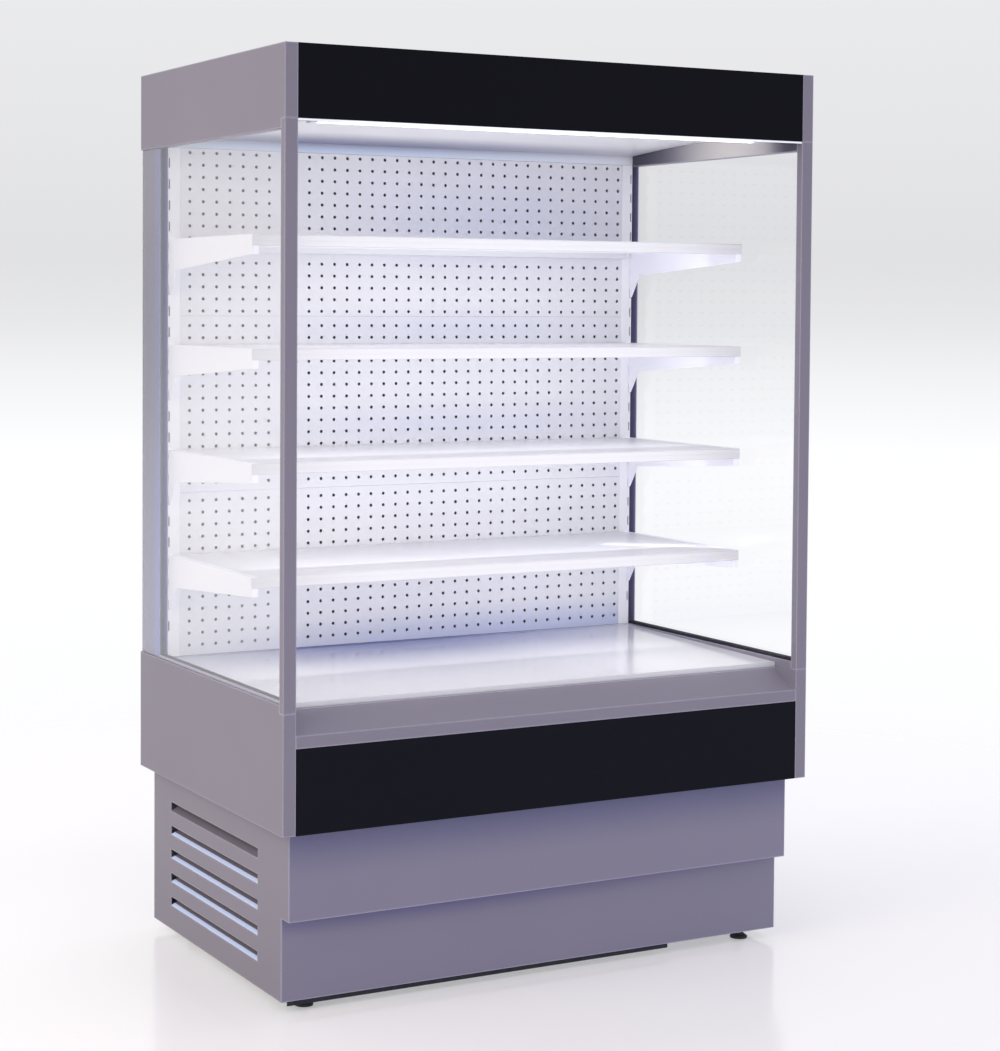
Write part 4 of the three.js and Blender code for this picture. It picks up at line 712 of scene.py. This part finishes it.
# Backdrop: height of the line of sight, from -1 straight down to 1 straight up, and brightness.
BACKDROP = (
    (-1.0, 0.93), (-0.31, 0.94), (-0.22, 0.975), (-0.13, 1.0), (-0.064, 1.0), (-0.033, 0.905),
    (-0.006, 0.8), (0.02, 0.755), (0.085, 0.8), (0.14, 0.83), (1.0, 0.9),
)
BACKDROP_TINT = (1, 1.002, 1.02)
WORLD_COLOR = (0.9, 0.895, 1.0, 1)
WORLD_STRENGTH = 0.63

COOL_WHITE = (0.97, 0.97, 1.0)
LAMPS = (  # name, place, the place it faces, width and height, power, colour
    ("key", (-4.5, -0.9, 2.6), (0, 0, 0.9), (3.0, 3.0), 82, (1.0, 0.87, 0.62)),
    ("above", (0, back(-0.25), 4.4), (0, back(0.03), 0.6), (1.6, 0.6), 15, (1.0, 0.93, 0.84)),
    ("low", (0.3, back(-2.2), 0.35), (0.1, back(0), 0.3), (2.4, 0.5), 8.5, (0.82, 0.84, 1.0)),
    ("opening", (0, back(0.045), 1.235), (0, back(0.5), 1.235), (1.2, 1.1), 2.4, COOL_WHITE),
    ("bays", (0, back(0.34), 1.2), (0, back(0.6), 1.2), (1.18, 1.05), 3.4, COOL_WHITE),
    (
        "deck_right", (0.42, back(0.25), 0.84), (0.46, back(0.3), 0.65), (0.3, 0.4), 0.22,
        (0.99, 0.98, 1.0),
    ),
)


def add_floor():
    """White floor that takes shadows and soft reflections, and fades away from the object."""
    bm = bmesh.new()
    bmesh.ops.create_grid(bm, x_segments=2, y_segments=2, size=FLOOR_GONE + FLOOR_MARGIN)
    mesh = finish_mesh(bm, "floor")
    floor = bpy.data.objects.new("floor", mesh)
    bpy.context.scene.collection.objects.link(floor)
    m = Nodes("studio_floor")
    soft = m.mix(m.noise(0.7, 2.0), (0.86, 0.845, 0.862, 1), (0.88, 0.865, 0.882, 1))
    m.set(Base_Color=soft, Roughness=m.spread(m.noise(3.0, 3.0), 0.14, 0.18))
    path = m.add("ShaderNodeLightPath").outputs
    mirrored = m.math("MAXIMUM", path["Is Glossy Ray"], path["Is Transmission Ray"])
    seen = m.math("MAXIMUM", path["Is Camera Ray"], mirrored)
    glow = m.spread(m.along("Y"), *FLOOR_GLOW, *FLOOR_GLOW_SPAN)
    m.set(Emission_Color=(1, 1, 1, 1), Emission_Strength=m.math("MULTIPLY", seen, glow))
    away = m.vector("LENGTH", m.place)["Value"]
    inputs = {"Value": away, "From Min": FLOOR_CLEAR, "From Max": FLOOR_GONE}
    fade = m.add("ShaderNodeMapRange", inputs, interpolation_type="SMOOTHSTEP")
    m.let_through(fade.outputs[0])
    mesh.materials.append(m.material)


def add_world():
    """The backdrop where it is seen, and an even light from all sides for everything else."""
    world = bpy.data.worlds.new("studio")
    world.use_nodes = True
    tree = world.node_tree
    tree.nodes.clear()
    add, link = tree.nodes.new, tree.links.new
    axes = add("ShaderNodeSeparateXYZ")
    link(add("ShaderNodeTexCoord").outputs["Generated"], axes.inputs[0])
    rise = add("ShaderNodeMapRange")
    rise.inputs["From Min"].default_value = -1
    link(axes.outputs["Z"], rise.inputs["Value"])
    ramp = add("ShaderNodeValToRGB")
    while len(ramp.color_ramp.elements) < len(BACKDROP):
        ramp.color_ramp.elements.new(0.5)
    for element, (height, level) in zip(ramp.color_ramp.elements, BACKDROP):
        element.position = (height + 1) / 2
        element.color = (*[level * tint for tint in BACKDROP_TINT], 1)
    link(rise.outputs[0], ramp.inputs[0])
    seen = add("ShaderNodeBackground")
    link(ramp.outputs[0], seen.inputs["Color"])
    light = add("ShaderNodeBackground")
    light.inputs["Color"].default_value = WORLD_COLOR
    light.inputs["Strength"].default_value = WORLD_STRENGTH
    path = add("ShaderNodeLightPath").outputs
    direct = path["Is Camera Ray"]
    for ray in ("Is Glossy Ray", "Is Transmission Ray"):
        either = add("ShaderNodeMath")
        either.operation = "MAXIMUM"
        link(direct, either.inputs[0])
        link(path[ray], either.inputs[1])
        direct = either.outputs[0]
    mix = add("ShaderNodeMixShader")
    for index, source in enumerate((direct, light.outputs[0], seen.outputs[0])):
        link(source, mix.inputs[index])
    link(mix.outputs[0], add("ShaderNodeOutputWorld").inputs[0])
    bpy.context.scene.world = world


def area_light(name, place, aim, size, power, color):
    data = bpy.data.lights.new(name, "AREA")
    data.shape = "RECTANGLE"
    data.size, data.size_y = size
    data.energy = power
    data.color = color
    lamp = bpy.data.objects.new(name, data)
    lamp.location = place
    lamp.rotation_euler = (Vector(aim) - Vector(place)).to_track_quat("-Z", "Y").to_euler()
    lamp.visible_camera = False
    lamp.visible_glossy = False
    bpy.context.scene.collection.objects.link(lamp)


bpy.context.scene.view_settings.view_transform = "Standard"
add_camera()
dress_nodes()
for panel in PANELS:
    perforated_panel(*panel)
for shelf in range(1, SHELVES + 1):
    price_rail(shelf)
fascia_edge()
deck_trim()
contact_shadow_strip()
louvre_lips()
rear_screws()
add_floor()
add_world()
for lamp in LAMPS:
    area_light(*lamp)
